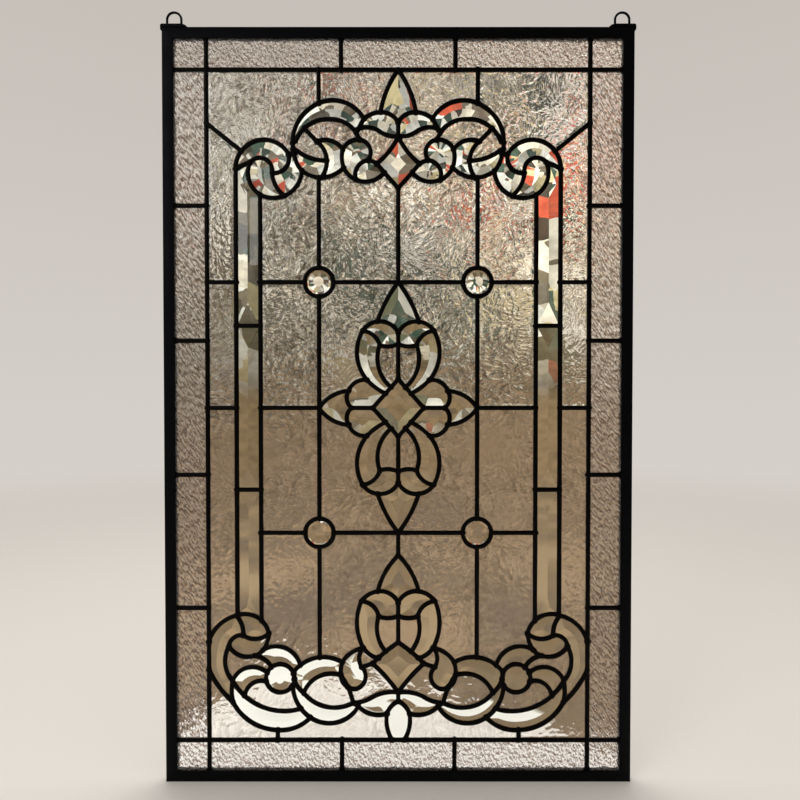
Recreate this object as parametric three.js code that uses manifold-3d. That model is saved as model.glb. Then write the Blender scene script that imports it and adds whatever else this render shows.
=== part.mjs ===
// Leaded window panel of clear textured and bevelled glass, in a metal channel frame with two hanging loops.
// Millimetres, +Z up. The front faces -Y. The origin is midway between the loops, where they bear on a hook.
import * as THREE from 'three';
import { mergeVertices } from 'three/addons/utils/BufferGeometryUtils.js';
import Module from 'manifold-3d';

const wasm = await Module();
wasm.setup();

// Frame
const panelWidth = 535;
const panelHeight = 862;
const railFace = 12.7;
const railWall = 1.2;
const edgeGap = 1;
const clearance = 0.3;

// Came, as wide on the back as on the front
const cameFace = 5.2;
const cameDepth = 5.6;
const faceBead = 1.9;

// Glass: flat sheet, and bevels that rise from a thin edge to a thick middle
const sheetGlass = 3;
const bevelGlass = 5.1;
const bevelWidth = 11;
const edgeBand = 4;

// Grid of the came lines, measured from the panel's outer edges or from its centre
const borderSide = 49.2;
const borderEnd = 46.8;
const borderSegments = 5;
const borderEndJoint = 65;
const stripOuter = 82.2;
const stripInner = 110;
const stripJoint = 94;
const columnSpacing = 181;
const crownGap = 107;
const braceDrop = 60;
const baseGap = 26;

// Round jewels where the columns cross the third lines
const jewelDiameter = 27;
const jewelGlass = 7;
const jewelTable = 14;
const roundSides = 12;

// Hanging loops of wire, each soldered to a cap on a top corner
const loopWire = 2.6;
const loopSpread = 16.2;
const loopRise = 17;
const loopInset = 13;
const capLength = 29;
const capSlope = 6;
const capThick = 3.3;
const capLip = 1.4;
const capDrop = 2.5;
const legSink = 1.8;
const wireSides = 8;
const wireSteps = 10;

// Arcs are drawn with one straight stretch to about this turn, in degrees. A bend whose cosine is less than
// sharpBend gets no mitre.
const arcTurn = 45;
const sharpBend = 0.26;
const smallArea = 1e-3;
const smallGap = 2e-3;

// Places worked out from the sizes
const halfWidth = panelWidth / 2;
const halfHeight = panelHeight / 2;
const frameHalfDepth = cameDepth / 2 + clearance + railWall;
const glassEdge = railWall + edgeGap;
const cameHalf = cameFace / 2;
const cameFront = -cameDepth / 2;
const cameBack = cameDepth / 2;
const glassBack = sheetGlass / 2;
const glassFront = -sheetGlass / 2;
const beadBack = cameFront + faceBead;
const bevelFloor = beadBack + clearance;
const bevelTop = glassBack - bevelGlass;
const borderX = halfWidth - borderSide;
const borderZ = halfHeight - borderEnd;
const stripOuterX = halfWidth - stripOuter;
const stripInnerX = halfWidth - stripInner;
const columnX = columnSpacing / 2;
const thirdZ = panelHeight / 6;
const roundTurn = Math.PI / roundSides;
const ringRadius = jewelDiameter / 2 + (cameHalf + clearance) / Math.cos(roundTurn);
const crownHeight = borderZ - thirdZ - crownGap;
const baseHeight = borderZ - thirdZ - baseGap;

const finish = {
  frame: { color: 0x141314, roughness: 0.55, metalness: 0.7 },
  came: { color: 0x0f0d0e, roughness: 0.4, metalness: 0.8 },
  border: { color: 0xb8aba0, roughness: 0.25, metalness: 0 },
  frost: { color: 0xa89c88, roughness: 0.3, metalness: 0 },
  bevel: { color: 0xd6dcd4, roughness: 0.04, metalness: 0 },
  jewel: { color: 0xe4e2cf, roughness: 0.02, metalness: 0 },
};

// Solids

function solidOf(geometry) {
  const bare = geometry.clone();
  bare.deleteAttribute('normal');
  bare.deleteAttribute('uv');
  const merged = mergeVertices(bare, 1e-4);
  return new wasm.Manifold(new wasm.Mesh({
    numProp: 3,
    vertProperties: new Float32Array(merged.attributes.position.array),
    triVerts: new Uint32Array(merged.index.array),
  }));
}

function geometryOf(solid) {
  const { vertProperties, triVerts } = solid.getMesh();
  const geometry = new THREE.BufferGeometry();
  geometry.setAttribute('position', new THREE.BufferAttribute(vertProperties, 3));
  geometry.setIndex(new THREE.BufferAttribute(triVerts, 1));
  return geometry;
}

// One flat face takes the place of the coplanar ones that joins and cuts leave, and the corners that lie within
// such a face or along its edge are taken out.
function tidied(solid) {
  return solid.asOriginal().simplify(smallGap);
}

function joined(solids) {
  return tidied(wasm.Manifold.union(solids));
}

// An outline in X and Z, as thick as the distance between two depths.
function slab(points, front, back) {
  const shape = new THREE.Shape(points.map(([x, z]) => new THREE.Vector2(x, z)));
  const geometry = new THREE.ExtrudeGeometry(shape, { depth: back - front, bevelEnabled: false });
  return solidOf(geometry.rotateX(Math.PI / 2).translate(0, back, 0));
}

function boxSlab(halfX, halfZ, front, back) {
  return slab([[-halfX, -halfZ], [halfX, -halfZ], [halfX, halfZ], [-halfX, halfZ]], front, back);
}

// A block between a four-sided outline at the back and one in front, corner to corner. Seen from the front,
// both run anticlockwise.
function block(rear, fore, back, front) {
  const corners = [...rear.map(([x, z]) => [x, back, z]), ...fore.map(([x, z]) => [x, front, z])];
  const faces = [[0, 2, 1], [0, 3, 2], [4, 5, 6], [4, 6, 7]];
  for (let i = 0; i < 4; i++) {
    const j = (i + 1) % 4;
    faces.push([i, j, j + 4], [i, j + 4, i + 4]);
  }
  const geometry = new THREE.BufferGeometry();
  geometry.setAttribute('position', new THREE.BufferAttribute(new Float32Array(corners.flat()), 3));
  geometry.setIndex(faces.flat());
  return solidOf(geometry);
}

// The separate bodies of a cut solid, each as its own geometry.
function bodiesOf(solid) {
  const { vertProperties, triVerts } = solid.getMesh();
  const parent = Array.from({ length: vertProperties.length / 3 }, (_, i) => i);
  const rootOf = (start) => {
    let i = start;
    while (parent[i] !== i) {
      parent[i] = parent[parent[i]];
      i = parent[i];
    }
    return i;
  };
  for (let t = 0; t < triVerts.length; t += 3) {
    parent[rootOf(triVerts[t])] = rootOf(triVerts[t + 1]);
    parent[rootOf(triVerts[t + 1])] = rootOf(triVerts[t + 2]);
  }
  const bodies = new Map();
  for (let t = 0; t < triVerts.length; t += 3) {
    const root = rootOf(triVerts[t]);
    if (!bodies.has(root)) bodies.set(root, []);
    for (let k = 0; k < 3; k++) {
      const v = triVerts[t + k] * 3;
      bodies.get(root).push(vertProperties[v], vertProperties[v + 1], vertProperties[v + 2]);
    }
  }
  return [...bodies.values()].map((corners) => {
    const geometry = new THREE.BufferGeometry();
    geometry.setAttribute('position', new THREE.BufferAttribute(new Float32Array(corners), 3));
    return mergeVertices(geometry, 1e-4);
  });
}

// Whether a point, seen from the front, lies on a body. The three areas are twice those of the triangles
// that the point makes with a face's edges, and their sum is twice the face's own.
function covers(geometry, x, z) {
  const place = geometry.attributes.position;
  const corners = geometry.index.array;
  const area = (a, b) => (place.getX(b) - place.getX(a)) * (z - place.getZ(a))
    - (place.getZ(b) - place.getZ(a)) * (x - place.getX(a));
  for (let t = 0; t < corners.length; t += 3) {
    const [a, b, c] = [corners[t], corners[t + 1], corners[t + 2]];
    const areas = [area(a, b), area(b, c), area(c, a)];
    if (Math.min(...areas) >= 0 && areas[0] + areas[1] + areas[2] > smallArea) return true;
  }
  return false;
}

function bodyAt(bodies, x, z) {
  return bodies.find((body) => covers(body, x, z));
}

// Came lines

// Points along the circle through three points, from the first to the last.
function arc([ax, az], [mx, mz], [bx, bz]) {
  const twist = ax * (mz - bz) + mx * (bz - az) + bx * (az - mz);
  const [aa, mm, bb] = [ax * ax + az * az, mx * mx + mz * mz, bx * bx + bz * bz];
  const cx = (aa * (mz - bz) + mm * (bz - az) + bb * (az - mz)) / (2 * twist);
  const cz = (aa * (bx - mx) + mm * (ax - bx) + bb * (mx - ax)) / (2 * twist);
  const fromA = Math.atan2(az - cz, ax - cx);
  const radius = Math.hypot(ax - cx, az - cz);
  const round = 2 * Math.PI;
  const gap = (((Math.atan2(bz - cz, bx - cx) - fromA) % round) + round) % round;
  const sweep = twist > 0 ? gap : gap - round;
  const steps = Math.max(1, Math.ceil(Math.abs(sweep) / THREE.MathUtils.degToRad(arcTurn) - 0.25));
  const points = [[ax, az]];
  for (let i = 1; i < steps; i++) {
    const turn = fromA + (sweep * i) / steps;
    points.push([cx + radius * Math.cos(turn), cz + radius * Math.sin(turn)]);
  }
  points.push([bx, bz]);
  return points;
}

// A stroke lists an end, a point midway on the arc from it, the next end, and so on. Two points are a straight line.
function stroke(points, place) {
  const [first, ...rest] = points.map(place);
  if (rest.length === 1) return [first, rest[0]];
  const line = [first];
  for (let i = 0; i < rest.length; i += 2) {
    line.push(...arc(line.at(-1), rest[i], rest[i + 1]).slice(1));
  }
  return line;
}

function flipX(line) {
  return line.map(([x, z]) => [-x, z]);
}

function flipZ(line) {
  return line.map(([x, z]) => [x, -z]);
}

function bothSides(line) {
  return [line, flipX(line)];
}

function allFour(line) {
  return [...bothSides(line), ...bothSides(flipZ(line))];
}

// Where the way from one point to another first meets a line.
function meeting(lines, [fromX, fromZ], [toX, toZ]) {
  const [wayX, wayZ] = [toX - fromX, toZ - fromZ];
  let nearest = 1;
  for (const line of lines) {
    for (let i = 0; i + 1 < line.length; i++) {
      const [[ax, az], [bx, bz]] = [line[i], line[i + 1]];
      const across = wayX * (bz - az) - wayZ * (bx - ax);
      const share = ((ax - fromX) * (bz - az) - (az - fromZ) * (bx - ax)) / across;
      const along = ((ax - fromX) * wayZ - (az - fromZ) * wayX) / across;
      if (share > 0 && share < nearest && along >= 0 && along <= 1) nearest = share;
    }
  }
  return [fromX + wayX * nearest, fromZ + wayZ * nearest];
}

function circle([cx, cz], radius) {
  const points = [];
  for (let i = 0; i <= roundSides; i++) {
    const turn = 2 * roundTurn * (i % roundSides);
    points.push([cx + radius * Math.sin(turn), cz + radius * Math.cos(turn)]);
  }
  return points;
}

// Bars along a line. Each straight stretch is two blocks, one on each side of the line. On the outer side of
// a bend they reach to the mitre, and on the inner side the stretches overlap. A bar may widen towards the front.
function bars(line, halfBack, halfFront, back, front) {
  const closed = line[0][0] === line.at(-1)[0] && line[0][1] === line.at(-1)[1];
  const ways = line.slice(1).map(([x, z], i) => {
    const [dx, dz] = [x - line[i][0], z - line[i][1]];
    const length = Math.hypot(dx, dz);
    return [dx / length, dz / length];
  });
  // The corner on one side of a stretch's end, at a distance from the line
  const corner = (at, way, other, side, half, ahead) => {
    const square = [at[0] - way[1] * side * half, at[1] + way[0] * side * half];
    if (!other) return square;
    const bend = way[0] * other[1] - way[1] * other[0];
    const along = way[0] * other[0] + way[1] * other[1];
    if (bend * side * ahead >= 0 || along < sharpBend) return square;
    const reach = (side * half) / (1 + along);
    return [at[0] - (way[1] + other[1]) * reach, at[1] + (way[0] + other[0]) * reach];
  };
  const blocks = [];
  ways.forEach((way, i) => {
    const before = i > 0 ? ways[i - 1] : closed && ways.at(-1);
    const after = i + 1 < ways.length ? ways[i + 1] : closed && ways[0];
    for (const side of [1, -1]) {
      const outline = (half) => {
        const start = corner(line[i], way, before, side, half, -1);
        const end = corner(line[i + 1], way, after, side, half, 1);
        const around = [line[i], line[i + 1], end, start];
        return side > 0 ? around : around.reverse();
      };
      blocks.push(block(outline(halfBack), outline(halfFront), back, front));
    }
  });
  return blocks;
}

// Ornaments, drawn in millimetres for the right side alone. Each is stretched so that its tip, on the centre line,
// and its outermost point fall on their places. Outlines are came as deep as the grid's, and the came inside them
// is a bead on the front. A flat place names a pane of textured sheet between the bevels.

// The crown is measured outwards from the centre line and down from the top border line.
const crownTip = [0, -133];
const crownShoulder = [185, -111.5];
const crownDraft = {
  outline: [
    [[0, 0], [13, -23], [20, -47.5], [30, -49.5], [39, -55]],
    [[39, -55], [68.5, -34.5], [97, -41], [116, -62.5], [118, -95]],
    [[118, -95], [124.5, -95]],
    [[124.5, -95], [158.5, -79], crownShoulder],
    [crownShoulder, [176.5, -107], [168.5, -104]],
    [[168.5, -104], [170, -123], [158, -140], [130, -142], [109.5, -113.5]],
    [[109.5, -113.5], [99.5, -119], [88.5, -121.5], [74.5, -118.5], [62, -110], [41.5, -125.5], [16, -115.5]],
    [[16, -115.5], crownTip],
  ],
  inner: [
    [[124.5, -95], [128.5, -110.5], [143, -116]],
    [[168.5, -104], [155, -99], [143.5, -113], [140.5, -128], [130, -141.5]],
    [[118, -95], [115, -105.5], [109.5, -113.5]],
    [[117, -82], [100.5, -61], [77.5, -55.5], [57.5, -61], [44, -79]],
    [[106, -66.5], [92.5, -80.5]],
    [[92.5, -80.5], [82.5, -94.5], [87.5, -121]],
    [[117.5, -89], [101.5, -98.5], [82.5, -102]],
    [[92.5, -80.5], [76.5, -79.5], [63, -89.5], [64, -100], [62, -110]],
    [[63, -89.5], [54.5, -80.5], [43.5, -78.5], [32.5, -87], [34, -101.5]],
    [[34, -101.5], [45.5, -108], [48, -123.5]],
    [[34, -101.5], [29, -103], [24.5, -105.5], [20.5, -110], [16, -115.5]],
    [[0, -75], [9.5, -90.5], [24.5, -105.5]],
    [[20, -47.5], [9, -50], [0, -59]],
    [[39, -55], [48, -71]],
    [[46.5, -67], [34.5, -64.5], [22, -68.5], [12, -73.5], [0, -74.5]],
    [[0, -59], [0, -75]],
  ],
  flat: [[77, -68], [103, -87], [22, -85]],
  middle: [0, -104],
  scroll: [165, -102],
};

// The centre is the same in all four quarters, so one quarter is drawn, outwards and up from its middle.
const centreTip = [0, 144];
const centreSide = [90, 0];
const centreDraft = {
  outline: [
    [centreTip, [14.5, 121], [23.5, 99]],
    [[23.5, 99], [33.5, 95.5], [40.5, 88.5], [47, 65], [35.5, 32]],
    [[35.5, 32], [47.5, 30], [56.5, 19.5]],
    [[56.5, 19.5], [76, 13.5], centreSide],
  ],
  inner: [
    [[23.5, 99], [10, 96.5], [0, 86]],
    [[40.5, 88.5], [28.5, 83.5], [21, 72], [11, 70.5], [0, 73.5]],
    [[35.5, 32], [26, 23.5], [14.5, 16.5]],
    [[21, 72], [22.5, 47], [8, 23.5]],
    [[0, 33], [29, 0]],
    [[56.5, 19.5], [58.5, 9.5], [53, 0]],
    [[29, 0], [53, 0]],
    [[0, 86], [0, 33]],
  ],
  flat: [[11, 50]],
  middle: [0, 0],
};

// The base is measured outwards from the centre line and up from the bottom border line.
const baseTip = [0, 213.5];
const baseShoulder = [218, 113.5];
const baseFoot = [139, 11.5];
const baseDraft = {
  outline: [
    [baseTip, [15, 194], [23.5, 172]],
    [[23.5, 172], [34.5, 168], [42.5, 160.5], [47.5, 134.5], [40, 106.5]],
    [[40, 106.5], [55, 100.5], [64.5, 90]],
    [[64.5, 90], [88.5, 96], [113, 86.5]],
    [[113, 86.5], [133, 107.5], [156, 104]],
    [[156, 104], [151, 113], [149, 123.5], [161.5, 141.5], [186.5, 144], [206, 133.5], baseShoulder],
    [[218, 81], [208, 63.5], [190.5, 43.5]],
    [[190.5, 43.5], [170, 21], baseFoot, [118.5, 14.5], [101.5, 26], [72.5, 20], [46, 39]],
    [[46, 39], [31, 30], [13, 30.5]],
    [[13, 30.5], [13, 16], [7, 0]],
  ],
  inner: [
    [[23.5, 172], [10, 169.5], [0, 159]],
    [[42.5, 160.5], [31, 156.5], [22.5, 143], [12, 141], [0, 143.5]],
    [[40, 106.5], [32, 98.5], [22, 94.5]],
    [[22.5, 143], [24, 123], [15, 103]],
    [[0, 159], [0, 113]],
    [[0, 113], [15, 102], [29.5, 88.5], [14.5, 73.5], [0, 55]],
    [[46, 39], [52, 43]],
    [[52, 43], [41.5, 44.5], [31, 49], [17.5, 54.5], [0, 55]],
    [[0, 55], [0, 45]],
    [[0, 45], [8.5, 38.5], [13, 30.5]],
    [[64.5, 90], [66, 83], [66, 75], [60, 62.5], [49.5, 59], [38.5, 68.5], [42, 84.5], [45, 94], [42, 104.5]],
    [[42, 84.5], [29.5, 88.5]],
    [[109, 54.5], [95.5, 71.5], [66, 75]],
    [[113, 86.5], [117.5, 82.5], [120.5, 78.5], [118, 65.5], [109, 54.5], [83, 38.5], [52, 43]],
    [[66, 75], [57.5, 60], [52, 43]],
    [[121.5, 62], [115, 40.5], [101.5, 26]],
    [[166, 97.5], [154.5, 93.5], [146, 84]],
    [[156, 104], [161, 99.5], [166, 97.5], [181.5, 97.5], [195, 108.5]],
    [[195, 108.5], [189.5, 118.5], [178.5, 121], [163.5, 117], [149, 123.5]],
    [[186.5, 144], [180, 133], [178.5, 121]],
    [[195, 108.5], [199.5, 89], [191, 68.5]],
    [[191, 68.5], [192, 56], [190.5, 43.5]],
    [[191, 68.5], [175, 83.5], [151, 78]],
    [[176.5, 52.5], [167.5, 66], [151.5, 67.5]],
    [[191, 68.5], [162.5, 41], [113, 36]],
  ],
  flat: [[11, 125], [27, 65], [85, 57], [140, 48], [178, 88], [35, 93]],
  round: [136, 71.5],
  middle: [0, 84],
};

function drawn(draft, place, repeat) {
  const lines = (strokes) => strokes.flatMap((points) => repeat(stroke(points, place)));
  return {
    outline: lines(draft.outline),
    inner: lines(draft.inner),
    flat: draft.flat.flatMap((point) => repeat([place(point)])).map(([point]) => point),
  };
}

const crownPlace = ([x, z]) => [(x * stripOuterX) / crownShoulder[0], borderZ - (z * crownHeight) / crownTip[1]];
const centrePlace = ([x, z]) => [(x * columnX) / centreSide[0], (z * thirdZ) / centreTip[1]];
const basePlace = ([x, z]) => [(x * borderX) / baseShoulder[0], (z * baseHeight) / baseTip[1] - borderZ];
const crown = drawn(crownDraft, crownPlace, bothSides);
const centre = drawn(centreDraft, centrePlace, allFour);
const base = drawn(baseDraft, basePlace, bothSides);
base.inner.push(...bothSides(circle(basePlace(baseDraft.round), ringRadius)));

// Grid
const wideEnd = halfWidth - glassEdge;
const highEnd = halfHeight - glassEdge;
const jointReach = edgeBand + clearance;
const segment = (2 * borderZ) / borderSegments;
const sideJoints = Array.from({ length: borderSegments - 1 }, (_, i) => segment * (i + 1) - borderZ);
const upright = (x, low, high) => [[x, low], [x, high]];
const level = (z, from, to) => [[from, z], [to, z]];
const crownLowest = (x) => meeting(crown.outline, [x, 0], [x, borderZ])[1];
const crownHighest = (x) => meeting(crown.outline, [x, borderZ], [x, 0])[1];
const baseHighest = (x) => meeting(base.outline, [x, 0], [x, -borderZ])[1];
const stripTop = crownPlace(crownShoulder)[1];
const braceTop = [borderX, borderZ - braceDrop];
const brace = [braceTop, meeting(crown.outline, braceTop, crownPlace(crownDraft.scroll))];
const [footX, footZ] = basePlace(baseFoot);
const gridLines = [
  ...bothSides(upright(borderX, -highEnd, highEnd)),
  ...[borderZ, -borderZ].map((z) => level(z, -wideEnd, wideEnd)),
  ...sideJoints.flatMap((z) => bothSides(level(z, borderX, wideEnd - jointReach))),
  ...allFour(upright(borderEndJoint, borderZ, highEnd - jointReach)),
  ...bothSides(upright(stripOuterX, baseHighest(stripOuterX), stripTop)),
  ...bothSides(upright(stripInnerX, baseHighest(stripInnerX), crownLowest(stripInnerX))),
  ...allFour(level(stripJoint, stripInnerX, stripOuterX)),
  ...bothSides(level(thirdZ, stripOuterX, borderX)),
  ...bothSides(level(0, stripOuterX, borderX)),
  ...allFour(level(thirdZ, columnX + ringRadius, stripInnerX)),
  ...bothSides(level(0, columnX, stripInnerX)),
  ...allFour(level(thirdZ, 0, columnX - ringRadius)),
  ...bothSides(upright(columnX, crownHighest(columnX), borderZ)),
  ...bothSides(upright(columnX, thirdZ + ringRadius, crownLowest(columnX))),
  ...bothSides(upright(columnX, ringRadius - thirdZ, thirdZ - ringRadius)),
  ...bothSides(upright(columnX, baseHighest(columnX), -thirdZ - ringRadius)),
  upright(0, thirdZ, borderZ - crownHeight),
  upright(0, baseHeight - borderZ, -thirdZ),
  ...bothSides(brace),
  ...bothSides(upright(footX, -borderZ, footZ)),
  ...allFour(circle([columnX, thirdZ], ringRadius)),
];
const deepLines = [...gridLines, ...crown.outline, ...centre.outline, ...base.outline];
const faceLines = [...crown.inner, ...centre.inner, ...base.inner];

const straightBars = (lines, half, back, front) => lines.flatMap((line) => bars(line, half, half, back, front));
const held = cameHalf + clearance;
const lattice = joined([
  ...straightBars(deepLines, cameHalf, cameBack, cameFront),
  ...straightBars(faceLines, cameHalf, beadBack, cameFront),
]);

// Glass

const cutDepth = 2 * bevelGlass;
const deepRoom = joined(straightBars(deepLines, held, cutDepth, -cutDepth));
const faceRoom = joined(straightBars(faceLines, held, cutDepth, -cutDepth));
const bevelRise = bevelFloor - bevelTop;
const cutRise = bevelRise + clearance;
const cutWidth = held + (bevelWidth * cutRise) / bevelRise;
const slopes = joined([...deepLines, ...faceLines].flatMap(
  (line) => bars(line, held, cutWidth, bevelFloor, bevelFloor - cutRise),
));

const sheets = bodiesOf(boxSlab(wideEnd, highEnd, glassFront, glassBack).subtract(deepRoom));
const bevelled = boxSlab(borderX, borderZ, bevelTop, glassBack).subtract(deepRoom).subtract(slopes);
const cells = bodiesOf(boxSlab(borderX, borderZ, bevelTop - clearance, glassFront).subtract(deepRoom).subtract(faceRoom));
const flattened = [...crown.flat, ...centre.flat, ...base.flat].map(([x, z]) => solidOf(bodyAt(cells, x, z)));
const bevels = bodiesOf(tidied(bevelled.subtract(joined(flattened))));

// Assembly

const panel = new THREE.Group();
panel.position.z = -halfHeight - loopRise;

function addPiece(name, geometry, look) {
  const mesh = new THREE.Mesh(geometry, new THREE.MeshStandardMaterial(finish[look]));
  mesh.name = name;
  panel.add(mesh);
}

function addPair(name, bodies, x, z, look) {
  addPiece(`${name}_left`, bodyAt(bodies, -x, z), look);
  addPiece(`${name}_right`, bodyAt(bodies, x, z), look);
}

addPiece('came_lattice', geometryOf(lattice), 'came');
addPiece('crown_bevels', bodyAt(bevels, ...crownPlace(crownDraft.middle)), 'bevel');
addPiece('centre_bevels', bodyAt(bevels, ...centrePlace(centreDraft.middle)), 'bevel');
addPiece('base_bevels', bodyAt(bevels, ...basePlace(baseDraft.middle)), 'bevel');

const nearLine = 2 * cameFace;
const sideMiddle = (borderX + wideEnd) / 2;
const endMiddle = (borderZ + highEnd) / 2;
addPiece('border_top', bodyAt(sheets, 0, endMiddle), 'border');
addPiece('border_bottom', bodyAt(sheets, 0, -endMiddle), 'border');
addPair('border', sheets, sideMiddle, 0, 'border');
addPair('corner_top', sheets, sideMiddle, endMiddle, 'border');
addPair('corner_bottom', sheets, sideMiddle, -endMiddle, 'border');

const stripMiddle = (stripInnerX + stripOuterX) / 2;
addPair('strip_upper', bevels, stripMiddle, stripJoint + nearLine, 'bevel');
addPair('strip_middle', bevels, stripMiddle, 0, 'bevel');
addPair('strip_lower', bevels, stripMiddle, -stripJoint - nearLine, 'bevel');

const sideX = (borderX + stripOuterX) / 2;
addPair('side_upper', sheets, sideX, thirdZ + nearLine, 'frost');
addPair('side_middle', sheets, sideX, thirdZ / 2, 'frost');
addPair('side_lower', sheets, sideX, -thirdZ / 2, 'frost');

const fieldX = (stripInnerX + columnX) / 2;
addPair('top_outer', sheets, borderX - nearLine, borderZ - nearLine, 'frost');
addPair('top_inner', sheets, columnX - nearLine, borderZ - nearLine, 'frost');
addPair('field_outer_1', sheets, fieldX, thirdZ + nearLine, 'frost');
addPair('field_outer_2', sheets, fieldX, thirdZ / 2, 'frost');
addPair('field_outer_3', sheets, fieldX, -thirdZ / 2, 'frost');
addPair('field_outer_4', sheets, fieldX, -thirdZ - nearLine, 'frost');
addPair('field_inner_1', sheets, columnX / 2, thirdZ + nearLine, 'frost');
addPair('field_inner_2', sheets, columnX - nearLine, thirdZ / 2, 'frost');
addPair('field_inner_3', sheets, columnX - nearLine, -thirdZ / 2, 'frost');
addPair('field_inner_4', sheets, columnX / 2, -thirdZ - nearLine, 'frost');
addPair('bottom_outer', sheets, borderX - nearLine, nearLine - borderZ, 'frost');
addPair('bottom_inner', sheets, columnX - nearLine, nearLine - borderZ, 'frost');

// A jewel is flat behind, with a table in front and facets round it.
function jewel() {
  const radius = jewelDiameter / 2;
  const front = glassBack - jewelGlass;
  const profile = [[0, front], [jewelTable / 2, front], [radius, bevelFloor], [radius, glassBack], [0, glassBack]];
  return new THREE.LatheGeometry(profile.map(([r, y]) => new THREE.Vector2(r, y)), roundSides);
}

for (const [row, z] of [['upper', thirdZ], ['lower', -thirdZ]]) {
  for (const [side, x] of [['left', -columnX], ['right', columnX]]) {
    addPiece(`jewel_${row}_${side}`, geometryOf(solidOf(jewel())).translate(x, 0, z), 'jewel');
  }
}

// Rails are U-channel, mitred at the corners. The glass and the ends of the came stand in the channel.
const channel = boxSlab(
  halfWidth - railWall,
  halfHeight - railWall,
  railWall - frameHalfDepth,
  frameHalfDepth - railWall,
);
const mitreGap = clearance * Math.SQRT2;
const upRail = [
  [halfWidth, -halfHeight],
  [halfWidth, halfHeight],
  [halfWidth - railFace, halfHeight - railFace],
  [halfWidth - railFace, railFace - halfHeight],
];
const acrossRail = [
  [halfWidth - mitreGap, halfHeight],
  [mitreGap - halfWidth, halfHeight],
  [railFace + mitreGap - halfWidth, halfHeight - railFace],
  [halfWidth - railFace - mitreGap, halfHeight - railFace],
];
const rail = (outline) => geometryOf(tidied(slab(outline, -frameHalfDepth, frameHalfDepth).subtract(channel)));
addPiece('frame_right', rail(upRail), 'frame');
addPiece('frame_left', rail(flipX(upRail).reverse()), 'frame');
addPiece('frame_top', rail(acrossRail), 'frame');
addPiece('frame_bottom', rail(flipZ(acrossRail).reverse()), 'frame');

// The middle of a loop's wire: up one leg, over a half round and down the other leg.
class LoopLine extends THREE.Curve {
  constructor(x, foot, crownZ) {
    super();
    Object.assign(this, { x, foot, crownZ });
  }

  getPoint(t, target = new THREE.Vector3()) {
    const radius = loopSpread / 2;
    const leg = this.crownZ - radius - this.foot;
    const along = t * (2 * leg + Math.PI * radius);
    if (along < leg) return target.set(this.x - radius, 0, this.foot + along);
    const turn = Math.min((along - leg) / radius, Math.PI);
    const down = Math.max(0, along - leg - Math.PI * radius);
    const [across, up] = [radius * Math.cos(turn), radius * Math.sin(turn)];
    return target.set(this.x - across, 0, this.crownZ - radius + up - down);
  }
}

// The right loop with its cap, which wraps over the corner of the frame.
function hangingLoop() {
  const wire = loopWire / 2;
  const capBottom = halfHeight + clearance;
  const capTop = capBottom + capThick;
  const line = new LoopLine(halfWidth - loopInset, capTop - legSink, halfHeight + loopRise + wire);
  const section = new THREE.Shape();
  section.absarc(0, 0, wire, 0, 2 * Math.PI);
  const settings = { extrudePath: line, steps: wireSteps, curveSegments: wireSides / 2 };
  const arch = solidOf(new THREE.ExtrudeGeometry(section, settings));
  const outside = halfWidth + clearance;
  const cap = slab([
    [halfWidth - capLength, capBottom],
    [outside, capBottom],
    [outside, halfHeight - capDrop],
    [outside + capLip, halfHeight - capDrop],
    [outside + capLip, capTop - capLip],
    [outside, capTop],
    [halfWidth - capLength + capSlope, capTop],
  ], -frameHalfDepth, frameHalfDepth);
  return tidied(cap.add(arch));
}

const loopRight = geometryOf(hangingLoop());
addPiece('hanging_loop_right', loopRight, 'frame');
const loopLeft = loopRight.clone().rotateZ(Math.PI);
addPiece('hanging_loop_left', loopLeft, 'frame');

export default panel;
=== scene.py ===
"""Leaded window panel of clear textured and bevelled glass, in a black channel frame with two wire loops.

The panel is drawn as lines of came in millimetres about its centre. The places that the lines enclose become
the panes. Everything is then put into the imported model's frame, in metres.
"""

import logging
import math
from dataclasses import dataclass, field
from enum import Enum
from typing import Callable, Iterable, Sequence

import bpy
import numpy as np
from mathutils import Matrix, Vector
from mathutils.geometry import delaunay_2d_cdt


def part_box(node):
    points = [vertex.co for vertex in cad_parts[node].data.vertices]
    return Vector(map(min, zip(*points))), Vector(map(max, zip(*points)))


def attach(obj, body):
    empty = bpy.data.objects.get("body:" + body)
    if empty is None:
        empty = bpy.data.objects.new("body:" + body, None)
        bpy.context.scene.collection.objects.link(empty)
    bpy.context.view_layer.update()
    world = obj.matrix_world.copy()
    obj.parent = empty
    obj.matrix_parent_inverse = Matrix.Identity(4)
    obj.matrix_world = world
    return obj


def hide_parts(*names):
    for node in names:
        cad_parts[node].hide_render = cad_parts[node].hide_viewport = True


LOG = logging.getLogger("leaded_panel")
MM = 0.001
BODY = "root"
SHADE = "shade"

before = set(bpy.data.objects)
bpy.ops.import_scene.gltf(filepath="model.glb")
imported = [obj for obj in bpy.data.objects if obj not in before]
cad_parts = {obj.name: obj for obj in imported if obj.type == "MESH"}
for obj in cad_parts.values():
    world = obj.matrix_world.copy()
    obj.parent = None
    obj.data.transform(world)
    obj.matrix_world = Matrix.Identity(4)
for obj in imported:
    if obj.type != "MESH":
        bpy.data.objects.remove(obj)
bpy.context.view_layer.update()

Point = tuple[float, float]
Stroke = Sequence[Point]
Solid = tuple[np.ndarray, np.ndarray | list[tuple[int, ...]]]
Tree = bpy.types.NodeTree
Socket = bpy.types.NodeSocket
Feed = float | tuple[float, ...] | bpy.types.NodeSocket

# A length that is taken as none, in millimetres
NONE_MM = 1e-9


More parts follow.
